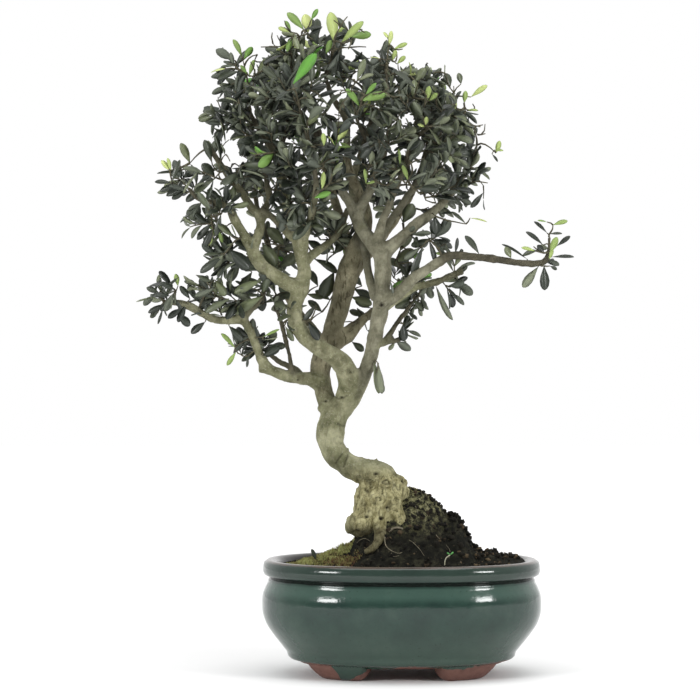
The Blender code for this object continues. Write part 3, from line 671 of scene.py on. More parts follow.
def foot(side, end):
    """A foot that follows the bowl's edge, flat in the middle and curling up at both ends."""
    start, flat, lift, stop = FOOT_SPAN
    shape = bmesh.new()
    rings = []
    width = FOOT_OUTER - FOOT_INNER
    for step in range(FOOT_RINGS + 1):
        degrees = start + (stop - start) * step / FOOT_RINGS
        if degrees < flat:
            rise = 1 - (degrees - start) / (flat - start)
        else:
            rise = max(0.0, (degrees - lift) / (stop - lift))
        low = (UNDERSIDE + 0.5 * MM) * (1 - math.sqrt(max(0.0, 1 - rise**2.2)))
        ring = []
        for share in FOOT_ROWS:
            taper = FOOT_LEAN * (1 - share) ** 2.2 + (FOOT_EDGE if share == 0 else 0)
            ring.append((FOOT_OUTER - taper, low + (FOOT_TOP - low) * share))
        ring += [(radius - width + 2 * (FOOT_OUTER - radius), z) for radius, z in reversed(ring)]
        angle = math.radians(degrees)
        rings.append([oval(radius, angle) + Vector((0, 0, z)) for radius, z in ring])
    loops = []
    for ring in rings:
        verts = [shape.verts.new((p.x * side, p.y * end, p.z)) for p in ring]
        loops.append([shape.edges.new((a, b)) for a, b in zip(verts, verts[1:] + verts[:1])])
    for first, second in zip(loops[:-1], loops[1:]):
        bmesh.ops.bridge_loops(shape, edges=first + second)
    bmesh.ops.contextual_create(shape, geom=loops[0])
    bmesh.ops.contextual_create(shape, geom=loops[-1])
    bmesh.ops.recalc_face_normals(shape, faces=shape.faces)
    return mesh_from(shape, "foot")


# In mm: how high the glaze ends, where along X a run of it crosses one front foot, and how much
# lower the run ends
GLAZE_END = 9.8
GLAZE_RUN = -36.5
GLAZE_RUN_DROP = 11.5
# In mm: under the bowl the glaze was wiped off inside this half width, between these heights
WIPED_HALF = 62
WIPED_HEIGHTS = (7.5, 9.5)
# In mm: faces above this height that look inwards are the bowl's inside
INSIDE_FROM = 14


def mark_glaze(mesh):
    """Marks how far below the glaze's edge each point is, in millimetres, and the bowl's inside."""
    x, y, z = coordinates(mesh).T / MM
    edge = GLAZE_END + 1.0 * np.sin(x * 0.11 + 1.0) + 0.7 * np.sin(y * 0.17)
    run = np.exp(-(((x - GLAZE_RUN - z * 0.5) / (3.6 + 0.75 * z)) ** 4)) * (y < 0)
    edge -= GLAZE_RUN_DROP * run * (z > 0.6)
    low, high = WIPED_HEIGHTS
    wiped = (np.hypot(x, y / PLAN_DEPTH) < WIPED_HALF) & (z < high) & (z > low)
    mark(mesh, "bare", edge - z + 6 * wiped)
    facing = np.empty(len(mesh.vertices) * 3)
    mesh.vertex_normals.foreach_get("vector", facing)
    inward = (facing.reshape(-1, 3)[:, :2] * np.c_[x, y]).sum(axis=1) < 0
    mark(mesh, "inside", (inward & (z > INSIDE_FROM)).astype(float))


def bowl():
    """The bowl with its feet joined on and its drain holes drilled."""
    bench = bpy.context.scene.collection
    body = bpy.data.objects.new("bowl_body", bowl_body())
    bench.objects.link(body)
    tools = []

    def use(mesh, operation):
        tool = bpy.data.objects.new("tool", mesh)
        bench.objects.link(tool)
        tools.append(tool)
        modifier = body.modifiers.new("join_or_cut", "BOOLEAN")
        modifier.operation, modifier.object, modifier.solver = operation, tool, "EXACT"

    for side in (-1, 1):
        for end in (-1, 1):
            use(foot(side, end), "UNION")
        drill = bmesh.new()
        sizes = {"radius1": DRAIN_RADIUS, "radius2": DRAIN_RADIUS, "depth": 30 * MM}
        bmesh.ops.create_cone(drill, cap_ends=True, segments=48, **sizes)
        bmesh.ops.translate(drill, verts=drill.verts, vec=(side * DRAIN_X, 0, 10 * MM))
        use(mesh_from(drill, "drill"), "DIFFERENCE")
    mesh = evaluated_mesh(body)
    for tool in tools:
        bpy.data.objects.remove(tool, do_unlink=True)
    mark_glaze(mesh)
    mesh.transform(Matrix.Translation(BOWL))
    mesh.shade_smooth()
    mesh.set_sharp_from_angle(angle=math.radians(50))
    return add_piece("bowl", mesh, [glaze_finish()], ["pot"])


# Soil, crumbs, fine roots and moss


# The soil's skyline, in mm: along X from the bowl's centre, and up from the table
RIDGE = [
    (-80, 69), (-72, 70), (-59, 72.5), (-51, 75), (-46, 76.5), (-39.7, 78.5), (-33, 81), (-27, 90),
    (-18, 103), (-6, 113), (5.6, 118), (13.8, 116), (24.3, 107.5), (30, 101), (34.8, 101.5), (38, 97.5),
    (42.4, 90.5), (44.5, 84.5), (52.9, 76.8), (59.4, 78), (66, 75.2), (74.8, 75.2), (80, 72.5),
]
RIDGE_Y = 6.0 * MM
RIDGE_FLAT = 7.0 * MM
# Where the soil goes down inside the bowl, in mm: half widths along X, and heights
SOIL_BELOW = [(82.4, 44.0), (79.0, 30.0), (70.0, 20.5), (60.0, 16.2)]
# Green grows on the mound from this height up, in metres, and fades to the right before this X
GREEN_FROM = 0.088
GREEN_RIGHT = 0.034


def soil_height(x, y):
    """How high the soil lies at a place from the bowl's centre."""
    ridge = np.interp(x / MM, *zip(*RIDGE)) * MM
    away = max(0.0, abs(y - RIDGE_Y) - RIDGE_FLAT) / (MOUND_DEEP - RIDGE_FLAT)
    rise = (ridge - SOIL_LEVEL) * (0.5 + 0.5 * math.cos(math.pi * min(away, 1)))
    spot = Vector((x, y, 0.3 + rise))
    edge = math.hypot(x, y / PLAN_DEPTH) / SOIL_HALF
    calm = max(0.25, min(1.0, 1 - (edge - 0.8) / 0.2))
    lumps = 2.4 * MM * turbulence(spot, 14 * MM, 3) + 1.5 * MM * turbulence(spot, 4.5 * MM, 4)
    lumps += 0.9 * MM * (0.5 - abs(noise.noise(spot / (3.1 * MM))) * 2)
    return SOIL_LEVEL + rise + lumps * calm * (0.6 + 0.4 * min(1.0, rise / (10 * MM)))


def soil():
    """The soil's lumpy top, closed below where the bowl holds it."""
    shape = bmesh.new()
    bmesh.ops.create_grid(shape, x_segments=180, y_segments=140, size=1.0)
    for vertex in shape.verts:
        u, v = vertex.co.x, vertex.co.y
        x, y = u * math.sqrt(1 - v * v / 2), v * math.sqrt(1 - u * u / 2)
        reach = math.hypot(x, y)
        spot = oval(reach * SOIL_HALF, math.atan2(y, x))
        vertex.co = (spot.x, spot.y, soil_height(spot.x, spot.y))
    rim = [edge for edge in shape.edges if edge.is_boundary]
    for radius, z in SOIL_BELOW:
        made = bmesh.ops.extrude_edge_only(shape, edges=rim)["geom"]
        rim = [item for item in made if isinstance(item, bmesh.types.BMEdge) and item.is_boundary]
        for vertex in {vertex for edge in rim for vertex in edge.verts}:
            spot = oval(radius * MM, math.atan2(vertex.co.y / PLAN_DEPTH, vertex.co.x))
            vertex.co = (spot.x, spot.y, z * MM)
    bmesh.ops.contextual_create(shape, geom=rim)
    bmesh.ops.recalc_face_normals(shape, faces=shape.faces)
    mesh = mesh_from(shape, "soil")
    x, _, z = coordinates(mesh).T
    high = np.clip((z - GREEN_FROM) / 0.022, 0, 1)
    mark(mesh, "green", high * np.clip((GREEN_RIGHT - x) / 0.014, 0.15, 1) * 0.9)
    mesh.transform(Matrix.Translation(BOWL))
    mesh.shade_smooth()
    return add_piece("soil_and_roots", mesh, [soil_finish()], ["soil"])


def lying(tree, x, y):
    """The soil's surface straight below a place from the bowl's centre."""
    place, normal, *_ = tree.ray_cast(BOWL + Vector((x, y, 0.3)), -UP)
    return place, normal


def crumb_template(seed):
    """A lumpy crumb, about one unit in radius."""
    shape = bmesh.new()
    bmesh.ops.create_icosphere(shape, subdivisions=2, radius=1)
    for vertex in shape.verts:
        spot = vertex.co * 1.1 + Vector((seed * 7.3, 0, 0))
        vertex.co *= 0.75 + 0.6 * noise.noise(spot) + 0.4 * noise.noise(spot * 2.7)
    return mesh_from(shape, "crumb")


# Clods that stand out along the mound's skyline: picture x, picture y, size in mm
CLODS = [
    (413, 491, 2.0), (423, 493, 2.2), (431, 499, 2.0), (438, 505, 2.4), (444, 511, 2.2), (451, 515, 3.2),
    (456, 516, 3.4), (453, 520, 3.0), (461, 523, 2.8), (464, 529, 2.4), (467, 534, 3.0), (469, 541, 2.4),
    (474, 546, 2.6), (480, 551, 2.2), (489, 554, 3.0), (494, 553, 3.4), (498, 556, 2.6), (505, 557, 2.4),
    (512, 557, 2.6), (518, 559, 2.2), (430, 512, 2.8), (441, 524, 2.6), (412, 505, 2.4), (452, 538, 2.8),
    (428, 538, 2.4), (400, 545, 2.2), (437, 545, 3.0), (420, 527, 2.6), (461, 546, 3.0), (446, 530, 2.4),
]
CRUMBS = 1500
CRUMB_KINDS = 5


def crumbs(tree):
    """The clods of the skyline, and loose crumbs strewn over the soil."""
    dice = random.Random(11)
    heap = Heap([crumb_template(seed) for seed in range(CRUMB_KINDS)])

    def drop(place, normal, size, tint):
        turn = Matrix.Rotation(dice.uniform(0, 6.28), 4, Vector((dice.random(), dice.random(), 1)))
        shape = Matrix.Diagonal((size, size * dice.uniform(0.6, 1), size * dice.uniform(0.5, 0.9), 1))
        matrix = Matrix.Translation(place + normal * size * 0.2) @ turn @ shape
        heap.put(dice.randrange(CRUMB_KINDS), matrix, tint)

    for px, py, size in CLODS:
        place, normal = struck(tree, px, py)
        if place is None:
            place, normal = lying(tree, (sighted(px, py) - BOWL).x, RIDGE_Y)
        drop(place, normal, size * MM, dice.uniform(0.1, 0.4))
    for _ in range(CRUMBS):
        spot = oval(SOIL_HALF * math.sqrt(dice.random()) * 0.96, dice.uniform(0, 6.283))
        place, normal = lying(tree, spot.x, spot.y)
        size = min(2.2, 0.5 + dice.expovariate(1.6)) * (1.0 if spot.x > -30 * MM else 0.6)
        drop(place, normal, size * MM, dice.random() ** 1.6 + 0.3 * (spot.x > 45 * MM))
    return add_piece("soil_crumbs", gathered(heap.meshes(), "crumbs"), [crumb_finish()])


# Fine roots that show on the mound: how thick in mm, then picture points
FINE_ROOTS = [
    (0.30, [(385.5, 533), (385, 541), (387, 547), (392, 551.5), (399, 554), (402, 552.5)]),
    (0.80, [(389, 532), (393, 529), (398, 528), (403, 529)]),
    (0.16, [(409, 540), (414, 544), (420, 550), (424, 556)]),
    (0.20, [(436, 535), (438, 538), (440, 539.5)]),
    (0.16, [(399, 556), (394, 557.5), (390, 556), (392, 553)]),
    (0.18, [(357, 543), (361, 540), (366, 539), (370, 541)]),
    (0.16, [(412, 503), (416, 508), (418, 514)]),
    (0.13, [(446, 545), (450, 551), (449, 558)]),
]


def fine_roots(tree):
    """Thin roots laid on the mound, with their ends in the soil."""
    paths = []
    for radius, route in FINE_ROOTS:
        points = []
        for number, (px, py) in enumerate(route):
            place, normal = struck(tree, px, py)
            lift = 0.2 if number in (0, len(route) - 1) else 0.7
            if place is not None:
                points.append((*(place + normal * lift * MM), radius * MM * (1 - 0.06 * number)))
        if len(points) > 1:
            paths.append(smooth_path(points, 0.8 * MM))
    look = Finish("fine_roots", Roughness=0.75)
    look.colour(look.ramp(look.noise(0.003), [(0.3, srgb(66, 58, 44)), (0.7, srgb(140, 134, 112))]))
    mesh = tubes(paths, 1)
    mesh.shade_smooth()
    return add_piece("fine_roots", mesh, [look.material])


def blade_template():
    """A moss leaf: a thin three-sided spike."""
    shape = bmesh.new()
    bmesh.ops.create_cone(shape, cap_ends=True, segments=3, radius1=0.20, radius2=0.03, depth=1)
    bmesh.ops.translate(shape, verts=shape.verts, vec=(0, 0, 0.5))
    return mesh_from(shape, "moss_blade")


# Moss patches, from the bowl's centre in mm: middle, half sizes, how tall it grows, how brown
MOSS_PATCHES = [
    ((-56, -14), (23, 30), 3.4, 0.25),
    ((-40, -30), (15, 16), 3.6, 0.75),
    ((-40, 2), (12, 16), 4.0, 0.15),
    ((-48, 24), (20, 18), 2.8, 0.4),
    ((22, 42), (24, 10), 2.4, 0.5),
    ((10, 12), (14, 14), 1.8, 0.45),
]
BLADES_PER_MM = 5.5
BLADE_WIDTH = 1.6 * MM


def moss(tree):
    """Patches of upright blades, taller and greener in their middles."""
    dice = random.Random(5)
    bed = Heap([blade_template()])
    for (x, y), (half_x, half_y), height, brown in MOSS_PATCHES:
        for _ in range(int(half_x * half_y * BLADES_PER_MM)):
            angle, reach = dice.uniform(0, 6.283), math.sqrt(dice.random())
            along, across = half_x * reach * math.cos(angle), half_y * reach * math.sin(angle)
            spot = Vector((x + along, y + across, 0)) * MM
            if math.hypot(spot.x, spot.y / PLAN_DEPTH) > SOIL_HALF * 0.97:
                continue
            place, normal = lying(tree, spot.x, spot.y)
            patch = 0.5 + 0.5 * noise.noise(place / (5 * MM))
            if patch + 0.45 < reach:
                continue
            size = height * MM * (0.25 + 0.75 * patch) * dice.uniform(0.5, 1.1) * (1.1 - 0.5 * reach**2)
            lean = (normal + UP + Vector((dice.gauss(0, 0.5), dice.gauss(0, 0.5), 0))).normalized()
            turn = lean.to_track_quat("Z", "Y").to_matrix().to_4x4()
            scale = Matrix.Diagonal((BLADE_WIDTH, BLADE_WIDTH, size, 1))
            tint = min(1.0, max(0.0, dice.gauss(0.35 + 0.5 * patch - brown * 0.6, 0.16)))
            bed.put(0, Matrix.Translation(place - UP * 0.3 * MM) @ turn @ scale, tint)
    mesh = gathered(bed.meshes(), "moss")
    return add_piece("moss_bed", mesh, [moss_finish()], ["moss_front", "moss_left"])


# The seedling's stalk, as picture points from the soil up, and its two leaves' tips
STALK = [(444.5, 566), (445, 561), (446, 558), (448.5, 556), (450, 555)]
STALK_LEAVES = [(453.5, 552), (447, 552.5)]
STALK_RADIUS = 0.32 * MM


def fallen_leaf(tree):
    """A dark dry leaf that stands in the moss."""
    root, _ = struck(tree, 316, 560)
    depth = (root.y - BOWL.y) / MM
    base, tip = sighted(316.5, 561, depth - 1), sighted(312, 549, depth - 1.5)
    mesh = leaf_template(*LEAF_SHAPES[0])
    mesh.transform(leaf_matrix(base, tip - base, Vector((0.5, -1, 0.2)), (tip - base).length))
    dry = Finish("dry_leaf", Roughness=0.7)
    dry.colour(dry.ramp(dry.noise(0.003), [(0.3, srgb(30, 38, 28)), (0.7, srgb(52, 60, 42))]))
    mesh.shade_smooth()
    return add_piece("fallen_leaf", mesh, [dry.material, dry.material])


def sprout(tree):
    """A pale seedling stalk with two tiny leaves, at the front of the mound."""
    root, _ = struck(tree, 444, 565)
    depth = (root.y - BOWL.y) / MM
    path = smooth_path([(*sighted(px, py, depth - 1.5), STALK_RADIUS) for px, py in STALK], 0.7 * MM)
    stalk = Finish("seedling_stalk", Roughness=0.6)
    stalk.colour(stalk.ramp(stalk.noise(0.003), [(0.3, srgb(170, 168, 140)), (0.7, srgb(214, 212, 190))]))
    leaves = []
    for tip_x, tip_y in STALK_LEAVES:
        base, tip = sighted(*STALK[-1], depth - 1.5), sighted(tip_x, tip_y, depth - 2)
        leaf = leaf_template(*LEAF_SHAPES[2])
        leaf.polygons.foreach_set("material_index", [1] * len(leaf.polygons))
        leaf.transform(leaf_matrix(base, tip - base, Vector((0.2, -1, 0.4)), (tip - base).length))
        leaves.append(leaf)
    green = Finish("seedling_leaves", Roughness=0.5)
    green.colour(green.ramp(green.noise(0.003), [(0.3, srgb(60, 130, 60)), (0.7, srgb(96, 168, 84))]))
    mesh = gathered([tubes([path], 1), *leaves], "seedling")
    return add_piece("seedling", mesh, [stalk.material, green.material])


# The wood

# Routes of the wood in the picture: x, y, depth in mm and radius in mm
TRUNK = {
    "trunk": [
        (386, 548, -2, 11), (383, 538, -3, 13), (379, 526, -5, 15.8), (379, 512, -6, 16.4),
        (380, 498, -6, 16.2), (382, 486, -6, 14.0), (378, 476, -8, 10.4), (364, 472, -10, 8.2),
        (350, 466, -10, 7.5), (339, 457, -9, 7.7), (331.5, 445, -8, 8.3), (330.5, 432, -6, 8.6),
        (334, 418, -4, 9.1), (336, 410, -3, 8.2),
    ],
    "left_stem": [
        (335, 419, -4, 7), (328, 404, 0, 6.2), (323.5, 390, 4, 6.0), (320.5, 375, 7, 6.6),
        (322, 360, 9, 6.6), (327, 345, 10, 6), (333, 328, 11, 6.2), (340, 305, 12, 6.6),
        (345.5, 283, 12, 7.0), (351, 263, 10, 7.0), (358.5, 243, 8, 5.6), (366, 222, 8, 4.2),
        (362, 200, 10, 3.6), (352, 178, 12, 3), (347, 152, 14, 2.6), (346, 120, 14, 2.2),
        (334, 100, 12, 1.8), (326, 78, 8, 1.5), (332, 58, -4, 1.0),
    ],
    "middle_stem": [
        (337, 414, -4, 6.5), (345, 397, -7, 6.6), (349, 382, -11, 7.0), (345, 368, -15, 7.0),
        (336, 358, -18, 6.4), (322, 349.5, -20, 5.4), (308, 340, -21, 5.2), (298.5, 328, -21, 5.2),
        (294.5, 312, -20, 5.2), (297, 298, -18, 5), (301.5, 286, -17, 5), (304.5, 271, -16, 4.3),
        (300.5, 255, -16, 4.2), (297, 238, -17, 4), (292.5, 226, -18, 3.6), (288, 207, -20, 3.2),
        (284.5, 192, -22, 2.8), (281, 172, -24, 2.4), (272, 150, -26, 2), (264, 128, -26, 1.4),
    ],
    "right_stem": [
        (341, 413, -3, 6), (353, 396.5, -4, 5.6), (362, 380, -8, 4.9), (369.5, 360, -12, 4.7),
        (373.5, 343, -15, 4.8), (377.5, 324, -16, 5.1), (380.7, 305, -16, 5.5), (382.4, 286, -15, 5.4),
        (383, 267, -14, 5.7), (380.5, 252, -13, 6.0), (371, 242, -11, 5.0), (362, 229, -8, 4.5),
        (356, 216, -6, 4.2), (350, 203, -8, 3.4), (342, 190, -14, 2.9), (334, 172, -22, 2.4),
        (326, 150, -28, 2), (318, 128, -30, 1.4),
    ],
}
BRANCHES = {
    "left_arm": [
        (301.5, 286, -17, 4.2), (292, 285, -18, 4.2), (276, 276.5, -22, 4.2), (262, 266, -26, 4),
        (254.5, 255, -28, 4.2), (250, 245, -29, 3.6), (242, 232, -31, 3), (234.5, 219, -33, 2.8),
        (228, 207, -34, 2.4), (216, 203, -34, 2), (200, 199, -33, 1.8), (188, 188, -32, 1.2),
    ],
    "left_long": [
        (251, 249, -29, 3.2), (257.3, 238, -27, 3), (260.5, 225.5, -25, 2.9), (257.5, 214, -25, 2.7),
        (251, 207, -26, 2.5), (241, 192, -28, 2.4), (231, 179.5, -30, 2.2), (222, 166.5, -31, 2),
        (212, 151, -32, 1.7), (208, 143, -32, 1.1),
    ],
    "left_rise": [(260, 222, -25, 2.6), (266, 208, -20, 2.3), (269, 195, -18, 2.1), (262, 160, -20, 1.2)],
    "left_cross": [(297, 241, -17, 2.6), (286, 231, -20, 2.4), (274, 219, -22, 2.2), (261, 208, -26, 2)],
    "low_branch": [
        (321, 383, 4, 5), (309, 379, 0, 3.8), (295.5, 377.5, -4, 3.6), (282, 374.5, -8, 3.6),
        (270, 370, -11, 3.4), (259.5, 368.5, -13, 2.8),
    ],
    "low_rise": [
        (269, 370, -11, 3), (263.5, 362, -12, 3), (258.5, 352.5, -13, 2.8), (253.5, 339, -14, 2.8),
        (248.5, 327.5, -15, 2.6), (242, 319.5, -16, 2.9), (229.5, 320, -18, 2.9), (216.5, 320, -20, 2.7),
        (204, 314.5, -21, 2.4), (191, 307, -22, 2.6), (178.5, 303, -23, 2.2), (164, 302, -24, 1.3),
    ],
    "low_arm": [(243, 319, -16, 2.2), (249, 312, -16, 2), (262, 297, -15, 1.6), (265.5, 286.5, -14, 1.1)],
    "low_shoot": [(290.5, 377, -5, 1.9), (291, 364, -8, 1.6), (283, 329, -14, 1.5), (277, 310, -14, 1.0)],
    "low_back": [(303, 378.5, -2, 2.4), (296, 370, 8, 2), (280, 362, 14, 1.8), (264, 350, 16, 1.2)],
    "right_fork_front": [
        (357, 218, -7, 3.4), (364, 201, -10, 3), (372, 186, -16, 2.6), (380, 168, -22, 2.2),
        (386, 146, -26, 1.8), (390, 120, -26, 1.6), (388, 95, -20, 1.4), (386, 74, -12, 1.0),
    ],
    "right_fork_back": [
        (362, 229, -8, 3), (356, 205, 16, 2.8), (352, 184, 28, 2.4), (362, 150, 34, 2), (372, 115, 34, 1.6),
        (370, 85, 30, 1.1),
    ],
    "twin_near": [
        (377, 246, -13, 3.2), (379, 233, -14, 2.8), (382.5, 221, -15, 2.6), (388, 209, -17, 2.4),
        (392, 198, -19, 2.2), (400, 178, -24, 2), (408, 155, -28, 1.7), (414, 130, -28, 1.2),
    ],
    "twin_far": [
        (378, 241, -13, 2.6), (388, 224, -8, 2.5), (397, 212, -5, 2.4), (405, 200, -3, 2.3),
        (418, 182, 0, 2), (430, 160, 2, 1.7), (440, 136, 2, 1.5), (434, 115, 2, 1.3), (428, 94, 2, 1.0),
    ],
    "right_arm": [
        (384, 253, -13, 4.4), (391, 246, -12, 3.9), (403, 236.5, -10, 3.8), (414.5, 226, -8, 3.6),
        (425, 218, -6, 3.2), (436, 209.5, -4, 2.9), (447, 198, -2, 2.4), (459, 182, 0, 2),
        (470, 165, 0, 1.6), (477, 145, -2, 1.1),
    ],
    "long_branch": [
        (381, 302, -15, 4.2), (391, 297.5, -18, 3.8), (403, 289, -20, 3.7), (414.5, 277.5, -21, 3.5),
        (426, 270, -22, 3.2), (437, 263, -23, 3), (447, 257, -24, 2.9), (457, 255.5, -25, 2.6),
        (491, 258.5, -27, 2.4), (514, 262, -28, 2.3), (533, 263.5, -29, 2.1), (545, 261, -29, 1.8),
        (549, 250, -29, 1.2), (549, 237, -29, 0.9),
    ],
    "cut_stub": [
        (382, 306, -13, 3.6), (396, 298, -8, 3.4), (407, 291, -6, 3.2), (418.5, 286, -5, 2.8),
        (433.5, 283, -5, 2.4), (463, 271, -5, 2.2),
    ],
    "thin_low": [(376, 344, -14, 2.2), (387, 342, -10, 2), (399, 339.5, -6, 1.7), (405, 331, -5, 1.0)],
    "thin_rise": [(385, 342, -11, 1.9), (397, 323, -4, 1.7), (405, 312.5, -2, 1.5), (416, 297, 6, 1.0)],
    "far_right": [
        (331, 346, 10, 4), (349, 337, 14, 3), (359, 325, 18, 2.8), (369, 314.5, 22, 2.6),
        (382, 306, 26, 2.4), (396, 296, 28, 2), (410, 284, 30, 1.3),
    ],
    "far_right_high": [(338, 338, 12, 3.4), (350, 328, 20, 2.6), (362, 320, 26, 2.4), (376, 316, 32, 1.4)],
    "side_stem": [
        (377, 298, -12, 3.4), (371, 284, -8, 2.8), (367.5, 270, -6, 2.6), (366, 256, -4, 2.6),
        (362, 240, 0, 2), (356, 222, 10, 1.2),
    ],
    "far_left": [
        (324, 347, 10, 4), (312, 330, 24, 3.6), (296, 310, 36, 3.2), (282, 285, 44, 2.8),
        (272, 258, 48, 2.4), (264, 230, 50, 2), (256, 200, 50, 1.8), (256, 170, 46, 1.6),
        (256, 140, 38, 1.1),
    ],
    "far_rise": [
        (347, 283, 12, 4), (362, 262, 26, 3.6), (380, 240, 38, 3.2), (398, 215, 46, 2.8),
        (414, 188, 50, 2.4), (424, 160, 50, 2), (430, 130, 46, 1.2),
    ],
    "far_crown": [
        (353, 263, 10, 3.6), (346, 235, 26, 3.2), (336, 205, 38, 2.8), (326, 172, 46, 2.4),
        (316, 134, 47, 1.9), (300, 112, 40, 1.6), (284, 92, 32, 1.0),
    ],
    "near_crown": [
        (300.5, 252, -16, 3.6), (306, 232, -28, 2.8), (312, 212, -38, 2.4), (316, 190, -46, 2),
        (314, 165, -50, 1.6), (306, 130, -48, 1.1),
    ],
    "mid_cross": [
        (302, 264, -16, 3.4), (312, 255, -8, 2.8), (325, 246, 0, 2.6), (338, 233, 6, 2.4), (348, 208, 12, 2),
    ],
    "top_left": [(281, 172, -24, 2), (266, 142, -14, 1.7), (250, 112, -4, 1.5), (248, 86, -2, 1.0)],
    "top_middle": [(277, 162, -25, 1.8), (286, 130, -20, 1.6), (290, 96, -15, 1.4), (292, 64, -12, 0.9)],
    "top_front": [(380, 170, -22, 1.8), (366, 140, -34, 1.6), (356, 118, -42, 1.0)],
    "near_side": [(412, 140, -28, 1.6), (428, 128, -26, 1.4), (444, 118, -22, 0.9)],
}
ROOTS = {
    "short_root": [
        (381, 520, -14, 5), (380.5, 530, -20, 4.0), (379.5, 537, -24, 3.3), (377, 543, -28, 2.9),
        (372.5, 548, -31, 2.6), (366, 552, -34, 1.9),
    ],
    "side_root": [(396, 512, -14, 5), (401, 521, -18, 4), (404, 531, -18, 2.6), (410, 541, -16, 2)],
}
# Swellings on the root block and healed stubs: picture x, y, depth, radius
BURLS = [
    (351, 521, -10, 3.4), (349.5, 525, -9, 3.2), (350, 529.5, -8, 3.0), (355, 524, -13, 4.6),
    (357, 518, -14, 4.6), (363, 524, -18, 6.6), (396, 484, -9, 7.2), (402, 493, -6, 5.6),
    (364, 491, -12, 5.0), (363, 500, -13, 5.4), (370, 505, -15, 7.5), (389, 503, -14, 8.5),
    (384, 486, -13, 7.5), (371, 479, -11, 6.0), (366, 531, -10, 6.5), (358, 531, -6, 4.6),
    (379, 522, -16, 7.0), (394, 515, -14, 6.0), (341, 398, -7, 3.2), (381.5, 306, -19, 3.2),
    (322, 408, -3, 3.0), (339, 440, -13, 3.0), (303, 287, -20, 3.0), (351, 372, -17, 3.0),
    (252, 252, -30, 2.8), (243, 319, -17, 2.6),
]
# Small spikes where shoots were rubbed off, on the upper side of the bend
SPIKES = [
    ((374, 463, -9), (377.5, 457.5, -10)), ((360, 461, -10), (362.5, 455.5, -10)),
    ((368, 462, -12), (369.5, 458, -13)), ((346, 451, -9), (349.5, 447.5, -10)),
    ((341, 417, -7), (344.5, 415, -8)),
]
# Rings and pits carved into the root block and the stems: picture x, y, radius in mm, kind
KNOTS = [
    (385.9, 482.5, 4.0, "ring"), (377.8, 498.8, 3.7, "ring"), (394.5, 473.5, 1.6, "pit"),
    (376.3, 474.0, 1.7, "pit"), (366.8, 516.5, 1.5, "pit"), (381.5, 518.5, 1.7, "pit"),
    (398.6, 500.0, 2.4, "ring"), (362.0, 503.0, 2.0, "ring"), (387.0, 508.0, 1.4, "pit"),
    (404.0, 481.0, 1.8, "pit"), (358.5, 531.0, 1.6, "pit"), (381.7, 304.5, 1.9, "pit"),
    (341.5, 398.0, 1.3, "ring"), (298.0, 380.0, 0.9, "pit"), (371.5, 489.0, 1.3, "pit"),
    (381.5, 304.5, 3.0, "ring"), (336.0, 397.0, 1.2, "ring"), (352.0, 372.0, 1.5, "ring"),
    (325.5, 401.0, 1.2, "pit"),
]
# Creases in the bark, where stems were bent or join: picture points along each
CREASES = [
    [(342.5, 453.5), (340.5, 456.5), (338, 459.5), (335.5, 464)],
    [(348, 455), (346.5, 459), (345, 463), (343.5, 467)],
    [(334, 396.5), (338, 398.5), (343, 398), (347, 396)], [(338, 423.5), (342, 425.5), (348, 426.5)],
]
# Cork covers the root block, below one picture point and right of another, with their depths, and
# is darkened below a third by a soil stain and by painted shade beneath the ledge
BLOCK_TOP = (380, 470, -8)
BLOCK_LEFT = (343, 480, -8)
STAIN_AND_SHADE_TOP = (0, 522, -12)
# The trunk grows lumpier below this point
LUMPY_BELOW = (335, 405)
# How far apart along a crease its marks lie, in pixels, and how far each reaches, in mm
CREASE_STEP = 0.8
CREASE_REACH = 0.75
# Where the bark is darkened with painted shade: picture x, y, radius in mm
SHADE_PATCHES = [
    (314, 347, 4.5), (323, 351, 5.5), (332, 356, 5.5), (340, 361, 5.0), (347, 370, 4.5), (350, 380, 3.5),
    (333, 462, 4.5), (358, 476, 5.0), (368, 480, 4.5), (346, 472, 4.5), (336, 405, 3.0), (299, 377, 3.0),
]


# How far apart the points along a limb lie
LIMB_STEP = 1.5 * MM


def limb(route, swell=1.0):
    """A smooth path along a given route, thicker where it leaves its parent."""
    rows = [(*sighted(px, py, depth), radius * MM) for px, py, depth, radius in route]
    path = smooth_path(rows, LIMB_STEP)
    along = np.r_[0, np.cumsum(np.linalg.norm(np.diff(path[:, :3], axis=0), axis=1))]
    path[:, 3] *= 1 + (swell - 1) * np.exp(-along / (2.2 * path[0, 3]))
    for row in path:
        row[3] *= 1 + 0.10 * noise.noise(Vector(row[:3]) / (9 * MM))
    return path


def all_limbs():
    """Every limb's path by name: x, y, z and radius along it."""
    limbs = {name: limb(route) for name, route in TRUNK.items()}
    limbs.update({name: limb(route, swell=1.35) for name, route in BRANCHES.items()})
    limbs.update({name: limb(route, swell=1.25) for name, route in ROOTS.items()})
    return limbs


def taubin(points, edges, rounds, shrink=0.5, grow=-0.52):
    """Smooths a mesh's points without thinning it."""
    count = len(points)
    degree = np.bincount(edges.ravel(), minlength=count)[:, None]
    for _ in range(rounds):
        for pull in (shrink, grow):
            total = np.zeros_like(points)
            for axis in range(3):
                total[:, axis] = np.bincount(edges[:, 0], points[edges[:, 1], axis], count)
                total[:, axis] += np.bincount(edges[:, 1], points[edges[:, 0], axis], count)
            points = points + pull * (total / degree - points)
    return points


def near_marks(tree, points, marks):
    """How near each point is to the marks, from 0 to 1: picture x, y and how far a mark reaches."""
    near = np.zeros(len(points))
    for px, py, reach in marks:
        place, _ = struck(tree, px, py)
        if place is not None:
            away = np.linalg.norm(points - np.array(place), axis=1)
            near = np.maximum(near, np.exp(-((away / (reach * MM)) ** 2)))
    return near


